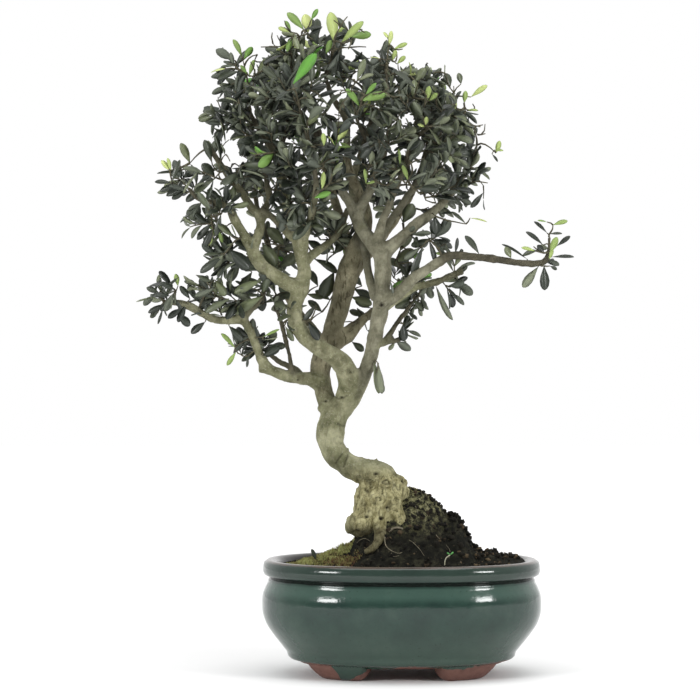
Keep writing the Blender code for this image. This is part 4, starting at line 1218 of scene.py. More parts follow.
def bark_lumps(points, block, lower):
    """How far smooth and corky bark rises at each point, and how much painted shade fills the cork's cracks.
    """
    lift, hollow = np.zeros(len(points)), np.zeros(len(points))
    for index in range(len(points)):
        spot = Vector(points[index])
        fine = noise.noise(spot / (2.4 * MM))
        flute = noise.noise(Vector((spot.x, spot.y, spot.z * 0.25)) / (3.2 * MM))
        lift[index] = 0.2 * MM * fine + 0.35 * MM * flute * (1 - block[index])
        lift[index] += 0.45 * MM * noise.noise(spot / (7 * MM)) * (1 + lower[index])
        rough = block[index]
        if rough > 0.01:
            grain = Vector((spot.x, spot.y, spot.z * 0.45)) / (3.4 * MM)
            wrinkle = 1 - 2 * abs(noise.noise(grain + noise.noise_vector(spot / (6 * MM)) * 0.8))
            cut = max(0.0, wrinkle - 0.70) / 0.30
            lift[index] += rough * (1.0 * MM * turbulence(spot, 8 * MM, 5) - 0.7 * MM * cut)
            hollow[index] = rough * cut * 0.6
    return lift, hollow


def knots(tree, points, lift, hollow):
    """Adds the rings and pits to the bark's lift and to the painted shade in its hollows."""
    for px, py, radius, kind in KNOTS:
        place, _ = struck(tree, px, py)
        if place is None:
            continue
        radius *= MM
        away = np.linalg.norm((points - np.array(place)) * (0.8, 0.8, 1.2), axis=1) / radius
        near = np.flatnonzero(away < 2.4)
        away[near] += [0.22 * noise.noise(Vector(points[index]) / (1.6 * MM)) for index in near]
        if kind == "ring":
            wave = np.cos(away * 2 * math.pi * 1.25) * np.exp(-((away / 1.1) ** 2))
            lift += 0.7 * MM * wave * (away < 2.2)
            hollow = np.maximum(hollow, np.exp(-(((away - 0.42) / 0.14) ** 2)) * 0.7)
            hollow = np.maximum(hollow, np.exp(-(((away - 1.1) / 0.16) ** 2)) * 0.45)
        else:
            lip = 0.5 * MM * np.exp(-(((away - 1.35) / 0.4) ** 2))
            lift += lip - 1.1 * radius * np.exp(-(away**2) * 1.4)
            hollow = np.maximum(hollow, np.exp(-((away / 0.8) ** 2)))
    return lift, hollow


def carve(mesh):
    """Bark relief: lumps, creases, rings and pits. Marks the corky block, its stain and painted shade low
    down, the patches of painted shade, and painted shade in the hollows.
    """
    points = coordinates(mesh)
    normals = np.empty(len(points) * 3)
    mesh.vertex_normals.foreach_get("vector", normals)
    block = np.clip((sighted(*BLOCK_TOP).z + 0.004 - points[:, 2]) / 0.010, 0, 1)
    block *= np.clip((points[:, 0] - sighted(*BLOCK_LEFT).x) / 0.008, 0, 1)
    lower = np.clip((sighted(*LUMPY_BELOW).z - points[:, 2]) / 0.05, 0, 1)
    tree = surface_of(mesh)
    lift, hollow = knots(tree, points, *bark_lumps(points, block, lower))
    lines = [smooth_path([(x, y, 0, 0) for x, y in route], CREASE_STEP) for route in CREASES]
    crease = near_marks(tree, points, [(px, py, CREASE_REACH) for line in lines for px, py, *_ in line])
    lift -= 0.7 * MM * crease
    hollow = np.maximum(hollow, crease * 0.6)
    mark(mesh, "patch_shade", near_marks(tree, points, SHADE_PATCHES))
    points = points + normals.reshape(-1, 3) * lift[:, None]
    mesh.vertices.foreach_set("co", points.ravel())
    mesh.update()
    stain_and_shade = np.clip((sighted(*STAIN_AND_SHADE_TOP).z - points[:, 2]) / 0.005, 0, 1)
    mark(mesh, "cork", block)
    mark(mesh, "stain_and_shade", stain_and_shade * block)
    mark(mesh, "hollow", hollow)


# Stems with old brown bark, and stems that have turned grey
OLD_STEMS = ("left_stem", "far_right", "far_right_high", "far_left", "far_rise", "far_crown")
GREY_STEMS = (
    "right_stem", "side_stem", "long_branch", "right_arm", "twin_near", "twin_far", "right_fork_front",
)
# The trunk below this height keeps its plain bark, and the long branch is darkened like the thin wood past
# this picture x
PLAIN_BELOW = 0.172
DARKER_PAST = 442


def mark_wood(mesh, limbs, edges):
    """Marks the brown and the grey wood, and the painted shade on the thin wood, from the limb that lies
    nearest to each point.
    """
    samples = [(row, name) for name, path in limbs.items() for row in path]
    nearest = kdtree.KDTree(len(samples))
    for index, (row, _) in enumerate(samples):
        nearest.insert(row[:3], index)
    nearest.balance()
    found = [samples[nearest.find(point)[1]] for point in coordinates(mesh)]
    old = np.array([float(name in OLD_STEMS) for _, name in found])
    thin_wood_shade = np.array([(3.0 * MM - row[3]) / (1.3 * MM) for row, _ in found])
    darker_from = sighted(DARKER_PAST, 0, -24).x
    thin_wood_shade += [float(name == "long_branch" and row[0] > darker_from) for row, name in found]
    grey = np.array([float(name in GREY_STEMS) for _, name in found])
    high = np.clip((coordinates(mesh)[:, 2] - PLAIN_BELOW) / 0.02, 0, 1)
    mark(mesh, "grey", spread(grey, edges, 12) * high)
    mark(mesh, "old", spread(old, edges, 12) * high * 0.85)
    mark(mesh, "thin_wood_shade", spread(np.clip(thin_wood_shade, 0, 1), edges, 12) * high)


def spread(values, edges, rounds):
    """Evens out a number over a mesh's neighbouring points."""
    degree = np.maximum(np.bincount(edges.ravel(), minlength=len(values)), 1)
    for _ in range(rounds):
        total = np.bincount(edges[:, 0], values[edges[:, 1]], len(values))
        total += np.bincount(edges[:, 1], values[edges[:, 0]], len(values))
        values = (values + total / degree) / 2
    return values


# The wood's skin is made of squares this wide; at 0.75 mm it passes 200,000 triangles
SKIN = 0.92 * MM
# A spike's radius at its foot and at its tip
SPIKE_RADII = (1.3 * MM, 0.5 * MM)


def wood(limbs):
    """Roots, trunk and branches melted into one skin, then carved."""
    spikes = [
        np.array([(*sighted(*end), radius) for end, radius in zip(spike, SPIKE_RADII)]) for spike in SPIKES
    ]
    mesh = tubes([*limbs.values(), *spikes], 4)
    shape = bmesh.new()
    shape.from_mesh(mesh)
    for px, py, depth, radius in BURLS:
        place = Matrix.Translation(sighted(px, py, depth))
        bmesh.ops.create_icosphere(shape, subdivisions=3, radius=radius * MM, matrix=place)
    shape.to_mesh(mesh)
    shape.free()
    obj = bpy.data.objects.new("wood_draft", mesh)
    bpy.context.scene.collection.objects.link(obj)
    melt = obj.modifiers.new("melt", "REMESH")
    melt.mode = "VOXEL"
    melt.voxel_size = SKIN
    mesh = evaluated_mesh(obj)
    edges = np.empty(len(mesh.edges) * 2, dtype=np.int32)
    mesh.edges.foreach_get("vertices", edges)
    edges = edges.reshape(-1, 2)
    mesh.vertices.foreach_set("co", taubin(coordinates(mesh), edges, 6).ravel())
    mesh.update()
    carve(mesh)
    mark_wood(mesh, limbs, edges)
    mesh.shade_smooth()
    return add_piece("wood", mesh, [bark_finish()], ["trunk_and_branches"])


# Twigs and leaves


# How far along a leaf each row of points lies, and how wide it is there
LEAF_ROWS = [(0.0, 0.05), (0.20, 0.42), (0.42, 0.84), (0.62, 1.0), (0.82, 0.86), (0.94, 0.52), (1.0, 0.12)]


def leaf_template(width, fold, curl, twist):
    """A leaf one unit long: round-ended, widest past the middle, folded along its rib and thin."""
    shape = bmesh.new()
    bmesh.ops.create_grid(shape, x_segments=2, y_segments=len(LEAF_ROWS) - 1, size=0.5)
    for vertex in shape.verts:
        along, share = LEAF_ROWS[round((vertex.co.y + 0.5) * (len(LEAF_ROWS) - 1))]
        breadth = width / 2 * share
        x, z = vertex.co.x * 2 * breadth, abs(vertex.co.x) * 2 * breadth * fold
        swing = twist * (along - 0.3)
        vertex.co = (
            x * math.cos(swing) - z * math.sin(swing),
            along,
            x * math.sin(swing) + z * math.cos(swing) - curl * along**2,
        )
    copy = bmesh.ops.duplicate(shape, geom=shape.faces[:])
    under = [item for item in copy["geom"] if isinstance(item, bmesh.types.BMFace)]
    bmesh.ops.reverse_faces(shape, faces=under)
    for face in under:
        face.material_index = 1
    inner = [vertex for vertex in {v for face in under for v in face.verts} if not vertex.is_boundary]
    bmesh.ops.translate(shape, verts=inner, vec=(0, 0, -0.035))
    bmesh.ops.remove_doubles(shape, verts=shape.verts, dist=1e-4)
    if sum(face.normal.z for face in shape.faces if face.material_index == 0) < 0:
        bmesh.ops.reverse_faces(shape, faces=shape.faces)
    return mesh_from(shape, "leaf")


# Width against length, fold along the rib, how far the tip droops, and twist
LEAF_SHAPES = [
    (0.36, 0.20, 0.10, 0.0), (0.33, 0.35, 0.20, 0.3), (0.42, 0.15, 0.05, -0.3), (0.34, 0.40, 0.26, -0.2),
    (0.40, 0.25, -0.06, 0.4), (0.30, 0.50, 0.14, 0.1), (0.46, 0.10, 0.16, -0.5),
]


def leaf_matrix(place, along, normal, length):
    """Stands a leaf at a place, its length along one direction and its top facing the other."""
    along = along.normalized()
    side = along.cross(normal)
    side = side.normalized() if side.length > 1e-6 else along.orthogonal().normalized()
    face = side.cross(along)
    turn = Matrix((side, along, face)).transposed().to_4x4()
    return Matrix.Translation(place) @ turn @ Matrix.Scale(length, 4)


class Twig:
    """A shoot: its path, the twig it grew from and how many it carries."""

    def __init__(self, path, parent, spray):
        self.path, self.parent, self.spray = path, parent, spray
        self.load = 1

    def carry(self):
        twig = self.parent
        while twig:
            twig.load += 1
            twig = twig.parent


def spray_spaces():
    """Each leaf mass by name, with the middle and half sizes of its space."""
    spaces = {}
    for name in sorted(frame["nodes"]):
        if name.startswith("leaves_"):
            low, high = (Vector(corner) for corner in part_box(name))
            spaces[name] = ((low + high) / 2, (high - low) / 2)
    return spaces


# Shoots for each litre of a spray's space, by the group that the spray belongs to
SHOOTS_PER_LITRE = {
    "front": 640, "top": 620, "side": 620, "back": 520, "left": 680, "right": 330, "inner": 1150,
}
# Sprays that are thinner than the rest of their group, mostly made of listed leaves
THIN_SPRAYS = {
    "leaves_left_5": 0.45, "leaves_right_2": 0.25, "leaves_left_1": 0.7, "leaves_right_4": 0.6,
    "leaves_right_5": 0.5,
}
# A ball's volume over its radius cubed, and how far apart shoots end where there is room
BALL = 4.19
TIP_GAP = 4.5 * MM


def shoot_tips(spaces):
    """Where shoots end: spread through each space, thickest near its outside."""
    dice = random.Random(21)
    tips = []
    for name, (middle, half) in spaces.items():
        group = name.split("_")[1]
        litres = BALL * half.x * half.y * half.z * 1000
        shoots = round(litres * SHOOTS_PER_LITRE[group] * THIN_SPRAYS.get(name, 1))
        for _ in range(max(4, shoots)):
            for _ in range(20):
                way = Vector((dice.gauss(0, 1), dice.gauss(0, 1), dice.gauss(0, 1))).normalized()
                reach = dice.random() ** 0.42 * 0.90
                tip = middle + Vector((way.x * half.x, way.y * half.y, way.z * half.z)) * reach
                if all((tip - other).length > TIP_GAP for other, _ in tips[-40:]):
                    break
            tips.append((tip, name))
    return tips


# Twigs leave from wood thinner than this radius and higher in the picture than this y, and lean
# away from this middle of the crown
BEARING_RADIUS = 4.6 * MM
BEARING_FROM = 385
CROWN_MIDDLE = (325, 250)
# What a twig avoids: starting closer than this, turning inwards, and leaving its branch sharply
NEAREST_START = 4 * MM
TURN_COST = 0.35
BEND_COST = 0.30
TWIG_STEP = 2.4 * MM


class Shoots:
    """The wood and twigs so far, as points that a new twig may leave from."""

    def __init__(self, limbs):
        self.dice = random.Random(34)
        self.crown = sighted(*CROWN_MIDDLE)
        rows, ways = [], []
        for name, path in limbs.items():
            if name in ROOTS:
                continue
            steps = np.diff(path[:, :3], axis=0)
            steps = np.vstack([steps, steps[-1]])
            for row, step in zip(path, steps):
                if row[3] < BEARING_RADIUS and row[2] > sighted(0, BEARING_FROM).z:
                    rows.append(row[:3])
                    ways.append(step / np.linalg.norm(step))
        self.rows, self.ways = np.array(rows), np.array(ways)
        self.owners = [None] * len(rows)
        self.twigs = []

    def grow(self, tip, spray, strict=False):
        """A curved twig to this tip from the wood that lies best for it, or nearest when strict."""
        lines = np.array(tip) - self.rows
        away = np.linalg.norm(lines, axis=1)
        outward = np.array((tip - self.crown).normalized() + UP * 0.5)
        outward /= np.linalg.norm(outward)
        turn = 1 - (lines @ outward) / np.maximum(away, 1e-6)
        bend = 1 - np.einsum("ij,ij->i", lines, self.ways) / np.maximum(away, 1e-6)
        cost = away
        if not strict:
            near = (away < NEAREST_START) * 0.02
            cost = (away + near) * (1 + TURN_COST * turn + BEND_COST * bend)
        best = int(np.argmin(cost))
        start, line = Vector(self.rows[best]), Vector(lines[best])
        span = line.length
        lead = Vector(self.ways[best]) * 0.45 + line.normalized() * 0.55
        control = start + lead * span * 0.55 + UP * span * self.dice.uniform(-0.05, 0.12)
        path = []
        for t in np.linspace(0, 1, max(3, int(span / TWIG_STEP))):
            point = start * (1 - t) ** 2 + control * 2 * t * (1 - t) + tip * t**2
            path.append(point + noise.noise_vector(point / (9 * MM)) * 0.7 * MM * math.sin(math.pi * t))
        twig = Twig(path, self.owners[best], spray)
        twig.carry()
        self.twigs.append(twig)
        joints = np.array([np.array(point) for point in path])
        steps = np.diff(joints, axis=0)
        self.rows = np.vstack([self.rows, joints[1:]])
        self.ways = np.vstack([self.ways, steps / np.maximum(np.linalg.norm(steps, axis=1), 1e-9)[:, None]])
        self.owners += [twig] * len(steps)
        return twig


# Shoots bear leaves over this length at their ends, in pairs about this far apart, and a leaf is
# between these two lengths long
LEAFY = 30.0 * MM
LEAF_GAP = 3.8 * MM
LEAF_LENGTHS = (12.5 * MM, 20.5 * MM)
# The radius of a twig's tip, and the most that its base has, in mm
TWIG_TIP = 0.32
TWIG_BASE = 1.15
# Young shoots are commoner from this height up, and commonest this much above it
FRESH_FROM = 0.375
FRESH_DEPTH = 0.035
# The tip of a leaf template, and its middle
UNIT_TIP = Vector((0, 1, 0))
UNIT_MIDDLE = Vector((0, 0.55, 0))


def twig_path(twig):
    """A twig's path with its radii, thicker the more it carries."""
    base = min(0.42 + 0.16 * math.sqrt(twig.load), TWIG_BASE) * MM
    shares = np.linspace(0, 1, len(twig.path))
    radii = base + (TWIG_TIP * MM - base) * shares
    return np.c_[np.array([np.array(point) for point in twig.path]), radii]


def fresh_share(tip):
    """How likely a shoot is to be young and bright: mostly at the top of the crown."""
    high = max(0.0, min(1.0, (tip.z - FRESH_FROM) / FRESH_DEPTH))
    return 0.02 + 0.22 * high


def leaves_on(twig, heap, dice):
    """Opposite pairs of leaves along the outer part of a shoot, each pair turned from the last."""
    path = twig.path
    lengths = [(b - a).length for a, b in zip(path[:-1], path[1:])]
    total = sum(lengths)
    turn = dice.uniform(0, math.pi)
    young = dice.random() < fresh_share(path[-1])
    tone = dice.uniform(-0.1, 0.8)
    at = max(2.0 * MM, total - LEAFY)
    while at < total + 0.1 * MM:
        left = min(at, total - 1e-5)
        index = 0
        while index < len(lengths) - 1 and left > lengths[index]:
            left -= lengths[index]
            index += 1
        way = (path[index + 1] - path[index]).normalized()
        place = path[index] + way * left
        tipness = 1 - (total - at) / LEAFY
        across = way.orthogonal().normalized()
        across.rotate(Matrix.Rotation(turn, 3, way))
        for sign in (-1, 1):
            if dice.random() < 0.10 + 0.15 * (1 - tipness):
                continue
            spread_angle = math.radians(68 - 38 * tipness + dice.gauss(0, 12))
            side = across * sign
            along = way * math.cos(spread_angle) + side * math.sin(spread_angle)
            along += UP * dice.gauss(0.0, 0.16) - UP * 0.10 * (1 - tipness)
            normal = way - along * way.dot(along) + UP * 0.35
            normal += Vector((dice.gauss(0, 0.4), dice.gauss(0, 0.4), dice.gauss(0, 0.4)))
            length = dice.uniform(*LEAF_LENGTHS) * (1 - 0.42 * max(0.0, tipness - 0.6) / 0.4)
            bright = young and tipness > 0.5
            if bright:
                tint = dice.random()
            else:
                tint = min(1.0, max(0.0, tone + dice.gauss(0, 0.16) + 0.3 * (tipness - 0.5)))
            matrix = leaf_matrix(place + side * 0.4 * MM, along, normal, length * (0.85 if bright else 1))
            middle = matrix @ UNIT_MIDDLE
            shut = in_the_open(middle) or hides_plain_leaf(middle)
            if inside_box(matrix @ UNIT_TIP) and not shut:
                heap.put(dice.randrange(len(LEAF_SHAPES)), matrix, tint, YOUNG_LOOK if bright else None)
        turn += math.pi / 2 + dice.gauss(0, 0.25)
        at += LEAF_GAP * dice.uniform(0.8, 1.35) * (1.25 - 0.5 * tipness)


# Where the sky shows through or round the crown, as picture circles: x, y and radius
OPEN_SKY = [
    (262, 30, 19), (232, 22, 16), (256, 52, 10), (275, 38, 7), (365, 8, 12), (378, 30, 13),
    (370, 47, 8), (425, 46, 20), (452, 54, 15), (404, 58, 8), (350, 16, 7), (474, 66, 14),
    (396, 34, 10), (488, 105, 15), (492, 128, 12), (480, 122, 6), (348, 53, 5), (355, 76, 4),
    (344, 92, 6), (338, 110, 6), (330, 108, 4), (357, 122, 5), (352, 131, 4), (302, 111, 5),
    (252, 124, 4), (251, 109, 3), (270, 140, 4), (271, 152, 4), (243, 160, 4), (230, 158, 7),
    (213, 158, 6), (196, 128, 10), (206, 84, 12), (216, 100, 6), (231, 76, 5), (186, 140, 14),
    (227, 140, 5), (410, 117, 5), (423, 154, 5), (416, 168, 5), (445, 164, 4), (488, 190, 12),
    (410, 187, 7), (430, 201, 8), (418, 203, 10), (372, 221, 5), (376, 208, 4), (272, 188, 4),
    (258, 201, 4), (270, 240, 7), (318, 240, 8), (340, 255, 6), (318, 268, 7), (395, 240, 5),
    (396, 275, 7), (246, 222, 6), (282, 292, 7), (190, 250, 12), (176, 262, 14), (480, 238, 12),
    (497, 235, 12), (398, 120, 3), (374, 106, 3), (220, 351, 9), (236, 358, 7), (227, 340, 4),
]
# How far leaves keep off, in pixels: from open sky, and from listed plain and young leaves
SKY_MARGIN = 3
SHOWN_MARGIN = 3
YOUNG_MARGIN = 8


def pictured(point):
    """Where a place shows in the picture: the reverse of sighted()."""
    way = point - CAMERA_PLACE
    scale = CAMERA_DISTANCE / way.y / PIXEL
    return PICTURE / 2 + way.x * scale, PICTURE / 2 - way.z * scale


def in_the_open(point):
    """Whether a leaf here would cover a gap of sky."""
    px, py = pictured(point)
    return any(math.hypot(px - x, py - y) < radius + SKY_MARGIN for x, y, radius in OPEN_SKY)


def inside_box(point):
    """Whether a leaf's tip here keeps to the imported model's box."""
    low, high = CAD_BOX
    return all(low[axis] - 2 * MM < point[axis] < high[axis] + 1 * MM for axis in range(3))


# Leaves that stand out in the picture: base x, y, tip x, y, depth in mm, width in pixels, and tint.
# A tint over 1 is a young leaf, from 1 for deep green to 2 for palest; under 0 shows the underside.
PLAIN_LEAVES = [
    (304, 30, 288, 12, -8, 9, 1.35), (308, 33, 306, 14, -6, 12, 2.0), (311, 20, 318, 9, -8, 5, 1.2),
    (291, 32, 285, 21, -10, 5, 1.3), (290, 32, 278, 28, -10, 5, 1.8), (303, 30, 322, 26, -12, 4, 0.2),
    (308, 36, 321, 27, -12, 5, 0.1), (334, 42, 331, 12, -10, 13, 1.8), (341, 43, 363, 21, -14, 8, 1.6),
    (350, 37, 371, 34, -8, 9, 1.3), (326, 54, 331, 40, -16, 6, 1.3), (293, 84, 316, 53, -58, 11, 1.02),
    (242, 57, 234, 39, -6, 6, 1.4), (244, 59, 252, 47, -8, 7, 1.2), (249, 76, 254, 60, -10, 5, 1.4),
    (247, 74, 241, 65, -10, 5, 1.3), (240, 71, 217, 78, -8, 7, 0.5), (236, 66, 221, 66, -6, 3, 0.7),
    (389, 46, 392, 31, -8, 5, 1.9), (389, 39, 384, 32, -8, 4, 1.9), (394, 49, 407, 43, -8, 5, 1.6),
    (397, 64, 405, 56, -6, 5, 1.7), (392, 61, 396, 50, -8, 5, 1.7), (385, 65, 382, 49, -14, 8, 0.2),
    (471, 97, 487, 85, -2, 6, 1.85), (464, 103, 466, 91, -4, 6, 1.5), (467, 110, 478, 110, -2, 3, 1.7),
    (360, 107, 347, 88, -46, 7, 1.25), (361, 101, 386, 92, -48, 9, 1.3),
    (365, 96, 376, 83, -46, 5, 1.2), (413, 98, 415, 80, -30, 9, 0.95), (427, 101, 429, 86, -32, 6, 1.6),
    (429, 101, 437, 93, -32, 5, 1.5), (425, 126, 427, 117, -36, 5, 1.8),
    (425, 127, 418, 124, -36, 4, 1.8), (415, 82, 425, 68, -24, 9, 0.9), (450, 88, 446, 73, -6, 10, 0.6),
    (461, 84, 459, 73, -4, 7, 0.8), (340, 90, 318, 96, -30, 5, 0.3), (314, 198, 331, 193, -58, 7, 1.15),
    (322, 190, 324, 172, -56, 5, 1.7), (324, 146, 323, 133, -60, 5, 1.7),
    (366, 184, 365, 169, -48, 4, 1.5), (366, 184, 375, 181, -48, 3, 1.5),
    (408, 181, 403, 165, -44, 5, 1.5), (400, 165, 399, 149, -44, 3, 1.4),
    (496, 153, 500, 141, -6, 6, 1.7), (494, 150, 503, 150, -6, 3, 1.6),
    (492, 154, 498, 161, -8, 3, 0.3), (190, 163, 181, 143, -30, 9, 0.95),
    (215, 178, 203, 163, -30, 12, 0.55), (170, 171, 162, 160, -33, 6, 1.95),
    (171, 171, 168, 158, -33, 4, 1.8), (186, 172, 157, 172, -32, 3, 0.4),
    (172, 182, 180, 160, -33, 5, 0.5), (172, 183, 155, 181, -33, 5, 0.3),
    (200, 205, 180, 222, -36, 3, 0.5), (212, 223, 197, 239, -36, 7, 0.3),
    (213, 229, 204, 246, -38, 7, 0.1), (206, 224, 196, 213, -36, 8, 0.3),
    (221, 214, 216, 236, -38, 6, 0.4), (229, 249, 250, 268, -40, 14, 0.2),
    (216, 287, 195, 297, -30, 7, -0.5), (205, 322, 191, 333, -22, 8, 0.2),
    (178, 314, 190, 325, -24, 9, 0.2), (159, 293, 147, 287, -26, 7, 0.5),
    (158, 297, 136, 301, -26, 2, 0.9), (162, 292, 177, 278, -26, 3, 0.4),
    (163, 308, 158, 324, -26, 3, 0.3), (178, 286, 176, 274, -24, 6, 1.5),
    (190, 299, 180, 286, -28, 7, 0.3), (235, 348, 222, 333, -18, 5, 1.45),
    (236, 352, 227, 365, -18, 5, 1.5), (263, 337, 279, 329, -20, 3, 1.4),
    (263, 340, 278, 338, -20, 2, -0.9), (263, 356, 279, 347, -18, 9, 0.3),
    (248, 356, 247, 367, -16, 3, 0.4), (216, 296, 216, 282, -24, 7, 0.95),
    (284, 246, 269, 227, 20, 14, 0.9), (308, 322, 319, 340, -26, 9, 0.05),
    (208, 247, 212, 238, -36, 3, 1.6), (229, 326, 243, 340, -18, 9, 0.35),
    (378, 363, 381, 394, -18, 9, -0.8), (403, 324, 404, 341, -8, 10, 0.05),
    (436, 286, 451, 321, -8, 7, -0.7), (428, 284, 431, 299, -4, 8, -0.6),
    (421, 297, 425, 308, 4, 6, -0.5), (408, 312, 417, 320, 2, 5, 0.4),
    (479, 254, 467, 235, -26, 7, 0.5), (435, 216, 436, 234, -14, 12, 0.2),
    (429, 240, 436, 262, -22, 6, 0.2), (423, 246, 412, 274, -22, 7, 0.3),
    (446, 254, 432, 241, -22, 4, 0.4), (466, 224, 452, 211, -10, 4, 0.7),
    (470, 218, 487, 221, -10, 2, 1.9), (455, 254, 458, 238, -24, 4, 0.05),
    (459, 252, 463, 250, -24, 4, 0.05), (538, 267, 522, 288, -30, 9, -0.8),
    (544, 266, 545, 290, -32, 10, 0.25), (547, 233, 535, 221, -30, 4, 0.2),
    (543, 245, 527, 231, -32, 5, 0.25), (544, 253, 538, 245, -33, 7, 0.1),
    (552, 257, 574, 256, -28, 4, 0.3), (557, 246, 570, 236, -28, 5, 0.2),
    (549, 234, 562, 233, -30, 3, 0.5), (553, 225, 567, 220, -30, 5, 1.5),
    (547, 222, 538, 220, -30, 2, 1.3), (550, 253, 557, 237, -34, 7, 1.5),
    (535, 251, 522, 247, -34, 4, 1.7), (511, 258, 506, 247, -30, 8, 0.95),
    (527, 259, 503, 243, -26, 3, 0.3), (549, 260, 553, 249, -34, 4, 1.6),
    (550, 266, 557, 269, -30, 4, 0.4), (440, 214, 452, 212, -6, 3, 0.3),
]


# More of them, low between the stems
LOW_LEAVES = [
    (262, 243, 277, 265, 8, 14, 0.9), (279, 268, 297, 254, 14, 12, 0.8),
    (303, 203, 297, 226, -40, 12, 0.6), (313, 220, 293, 239, -40, 10, 0.7),
    (316, 212, 321, 232, -34, 11, 0.55), (334, 272, 322, 298, 20, 15, 0.7),
    (315, 259, 338, 270, 18, 9, 0.65), (334, 254, 344, 242, 20, 9, 0.7),
    (345, 233, 356, 241, 16, 5, 0.65), (327, 230, 314, 236, -4, 5, 0.45),
    (342, 246, 351, 258, 24, 8, 1.3), (354, 289, 371, 297, 24, 10, 0.55),
    (351, 297, 372, 303, 22, 10, 0.95), (222, 257, 200, 272, -34, 8, 0.45),
    (223, 254, 204, 254, -34, 4, 0.65), (196, 275, 209, 281, -30, 6, 0.65),
    (229, 299, 205, 312, -28, 7, 0.85), (262, 280, 234, 292, -24, 9, 0.95),
    (263, 296, 234, 313, -22, 10, 0.95), (215, 280, 226, 295, -26, 9, 0.95),
    (264, 303, 293, 293, -6, 8, 0.75), (307, 294, 323, 299, 20, 7, 0.85),
    (316, 305, 304, 320, -24, 6, 0.4), (403, 223, 413, 204, 2, 14, 0.85),
    (430, 241, 411, 246, -14, 8, 0.45), (433, 242, 446, 257, -16, 6, 0.55),
    (445, 244, 452, 261, -18, 5, 0.75), (400, 251, 410, 231, 10, 12, 0.95),
    (394, 263, 413, 249, 12, 11, 0.95), (411, 251, 420, 259, 8, 8, 1.25),
    (399, 263, 407, 275, 0, 5, 0.55), (411, 262, 422, 275, -4, 6, 0.65),
    (404, 280, 393, 291, 6, 9, 1.15), (419, 286, 393, 303, 4, 9, 0.85), (412, 298, 395, 308, 6, 8, 0.8),
    (413, 299, 424, 310, 2, 7, 0.75), (390, 280, 394, 297, -22, 3, 0.65),
    (330, 240, 342, 226, 8, 10, 0.65), (350, 262, 341, 276, 30, 10, 0.75),
    (283, 262, 271, 281, 20, 11, 0.8), (322, 312, 309, 300, 26, 9, 0.75),
    (357, 308, 366, 322, 28, 9, 0.75), (240, 262, 228, 282, -10, 10, 0.7),
    (252, 272, 240, 290, -10, 9, 0.75), (222, 232, 232, 250, -20, 9, 0.65),
    (366, 262, 356, 246, 30, 9, 0.7), (420, 272, 436, 262, 10, 7, 0.75),
    (306, 240, 322, 248, 22, 9, 0.65), (175, 290, 160, 282, -30, 6, 0.3),
    (168, 304, 148, 312, -26, 6, 0.2), (176, 300, 160, 310, -30, 6, 0.15),
    (182, 308, 168, 318, -26, 7, 0.1), (170, 296, 152, 294, -30, 6, 0.2),
    (186, 304, 178, 322, -24, 7, 0.2), (188, 186, 166, 194, -30, 8, 0.4),
    (186, 190, 172, 199, -30, 7, 0.3), (178, 184, 160, 190, -32, 6, 0.3),
    (200, 190, 186, 201, -30, 8, 0.4), (374, 362, 380, 393, -16, 9, 0.95),
    (376, 374, 384, 392, -18, 7, 0.8), (362, 286, 352, 274, 26, 9, 0.7),
    (370, 308, 356, 300, 28, 9, 0.75), (344, 322, 330, 312, 30, 9, 0.7),
    (330, 300, 316, 290, 26, 9, 0.8), (318, 286, 310, 270, 26, 9, 0.7),
    (330, 252, 318, 250, 26, 9, 0.7), (290, 300, 280, 286, 16, 9, 0.7),
    (288, 318, 276, 306, 12, 8, 0.8), (345, 244, 334, 232, 24, 9, 0.6),
    (362, 316, 350, 310, 30, 8, 0.8), (367, 330, 379, 336, 26, 7, 0.7),
    (400, 268, 390, 258, 14, 9, 0.8), (338, 290, 324, 282, 34, 10, 0.75),
    (352, 342, 364, 350, 20, 8, 0.7), (245, 300, 232, 306, -12, 8, 0.7),
]


# The leaves that no other leaf may cover
SHOWN = np.array(PLAIN_LEAVES)


def hides_plain_leaf(point):
    """Whether a leaf here would stand in front of one of the listed leaves."""
    spot = np.array(pictured(point))
    base, way = SHOWN[:, 0:2], SHOWN[:, 2:4] - SHOWN[:, 0:2]
    along = np.clip(((spot - base) * way).sum(axis=1) / (way**2).sum(axis=1), 0, 1)
    apart = np.linalg.norm(base + along[:, None] * way - spot, axis=1)
    margin = SHOWN[:, 5] / 2 + np.where(SHOWN[:, 6] > 1, YOUNG_MARGIN, SHOWN_MARGIN)
    in_front = point.y < BOWL.y + (SHOWN[:, 4] + 4) * MM
    return bool((in_front & (apart < margin)).any())


def plain_leaf_spray(tip, spaces):
    """The spray whose space lies nearest to a leaf."""

    def apart(name):
        middle, half = spaces[name]
        return max(abs(tip[axis] - middle[axis]) / half[axis] for axis in range(3))

    return min(spaces, key=apart)


def plain_leaves(shoots, spaces, heaps):
    """Places the leaves of both tables, each on a thin stalk from the nearest wood."""
    for base_x, base_y, tip_x, tip_y, depth, width, tint in PLAIN_LEAVES + LOW_LEAVES:
        base, tip = sighted(base_x, base_y, depth), sighted(tip_x, tip_y, depth - 1.5)
        spray = plain_leaf_spray(base, spaces)
        shoots.grow(base, spray, strict=True)
        along = tip - base
        length = along.length
        share = width * PIXEL / length
        kind = min(range(len(LEAF_SHAPES)), key=lambda index: abs(LEAF_SHAPES[index][0] - share))
        normal = Vector((0.25, -1, 0.35)) * (-1 if tint < 0 else 1)
        matrix = leaf_matrix(base, along, normal, length)
        matrix = matrix @ Matrix.Diagonal((share / LEAF_SHAPES[kind][0], 1, 1, 1))
        young = tint > 1
        heaps[spray].put(kind, matrix, tint - 1 if young else abs(tint), YOUNG_LOOK if young else None)


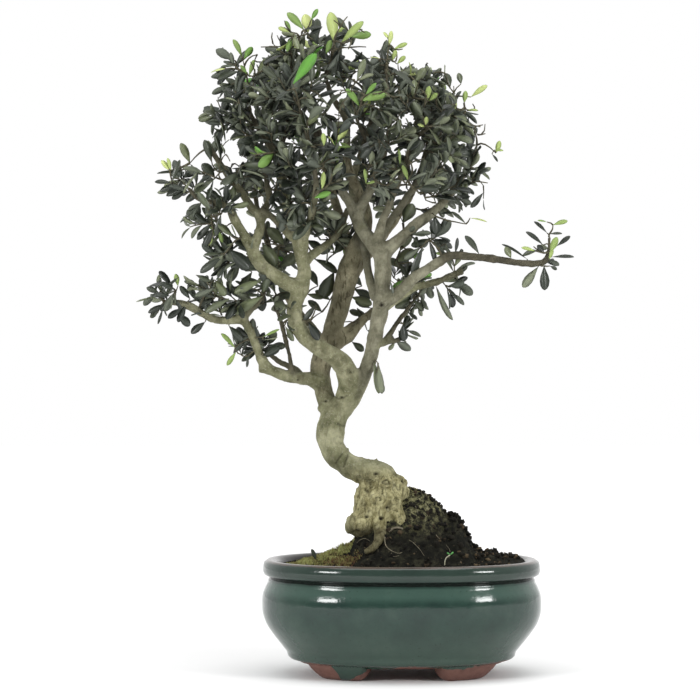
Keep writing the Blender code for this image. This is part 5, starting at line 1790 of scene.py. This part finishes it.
def sprays(limbs):
    """Twigs and leaves, one piece for each leaf mass."""
    spaces = spray_spaces()
    shoots = Shoots(limbs)
    templates = [leaf_template(*shape) for shape in LEAF_SHAPES]
    heaps = {name: Heap(templates) for name in spaces}
    plain_leaves(shoots, spaces, heaps)
    bare = len(shoots.twigs)
    tips = shoot_tips(spaces)
    tips.sort(key=lambda item: np.linalg.norm(shoots.rows - np.array(item[0]), axis=1).min())
    for tip, spray in tips:
        shoots.grow(tip, spray)
    finishes = foliage_finishes()
    dice = random.Random(55)
    for twig in shoots.twigs[bare:]:
        leaves_on(twig, heaps[twig.spray], dice)
    for name, heap in heaps.items():
        stems = tubes([twig_path(twig) for twig in shoots.twigs if twig.spray == name], 0)
        mark(stems, "tint", np.full(len(stems.vertices), 0.5))
        stems.polygons.foreach_set("material_index", [TWIG_LOOK] * len(stems.polygons))
        spray = name.replace("leaves", "spray")
        add_piece(spray, gathered([stems, *heap.meshes()], spray), finishes, [name])


def drain_fittings():
    """Finishes for the plastic mesh and the wire, which keep their shapes."""
    plastic = Finish("plastic_mesh", Specular_IOR_Level=0.4)
    plastic.colour(plastic.ramp(plastic.noise(0.004), [(0.3, srgb(22, 24, 22)), (0.7, srgb(40, 44, 40))]))
    plastic.rough(plastic.plus(plastic.times(plastic.noise(0.002), 0.3), 0.4))
    wire = Finish("wire", Metallic=1.0)
    wire.colour(wire.ramp(wire.noise(0.003), [(0.3, srgb(150, 146, 138)), (0.7, srgb(190, 187, 180))]))
    wire.rough(wire.plus(wire.times(wire.noise(0.002), 0.3), 0.25))
    for side in ("left", "right"):
        for name, look in ((f"drain_mesh_{side}", plastic), (f"mesh_wire_{side}", wire)):
            frame["nodes"][name].data.materials.clear()
            frame["nodes"][name].data.materials.append(look.material)


camera()
softboxes()
white_room()
floor()
bowl()
ground = soil()
ground_tree = surface_of(ground.data)
crumbs(ground_tree)
fine_roots(ground_tree)
moss(ground_tree)
sprout(ground_tree)
fallen_leaf(ground_tree)
limbs = all_limbs()
wood(limbs)
sprays(limbs)
drain_fittings()
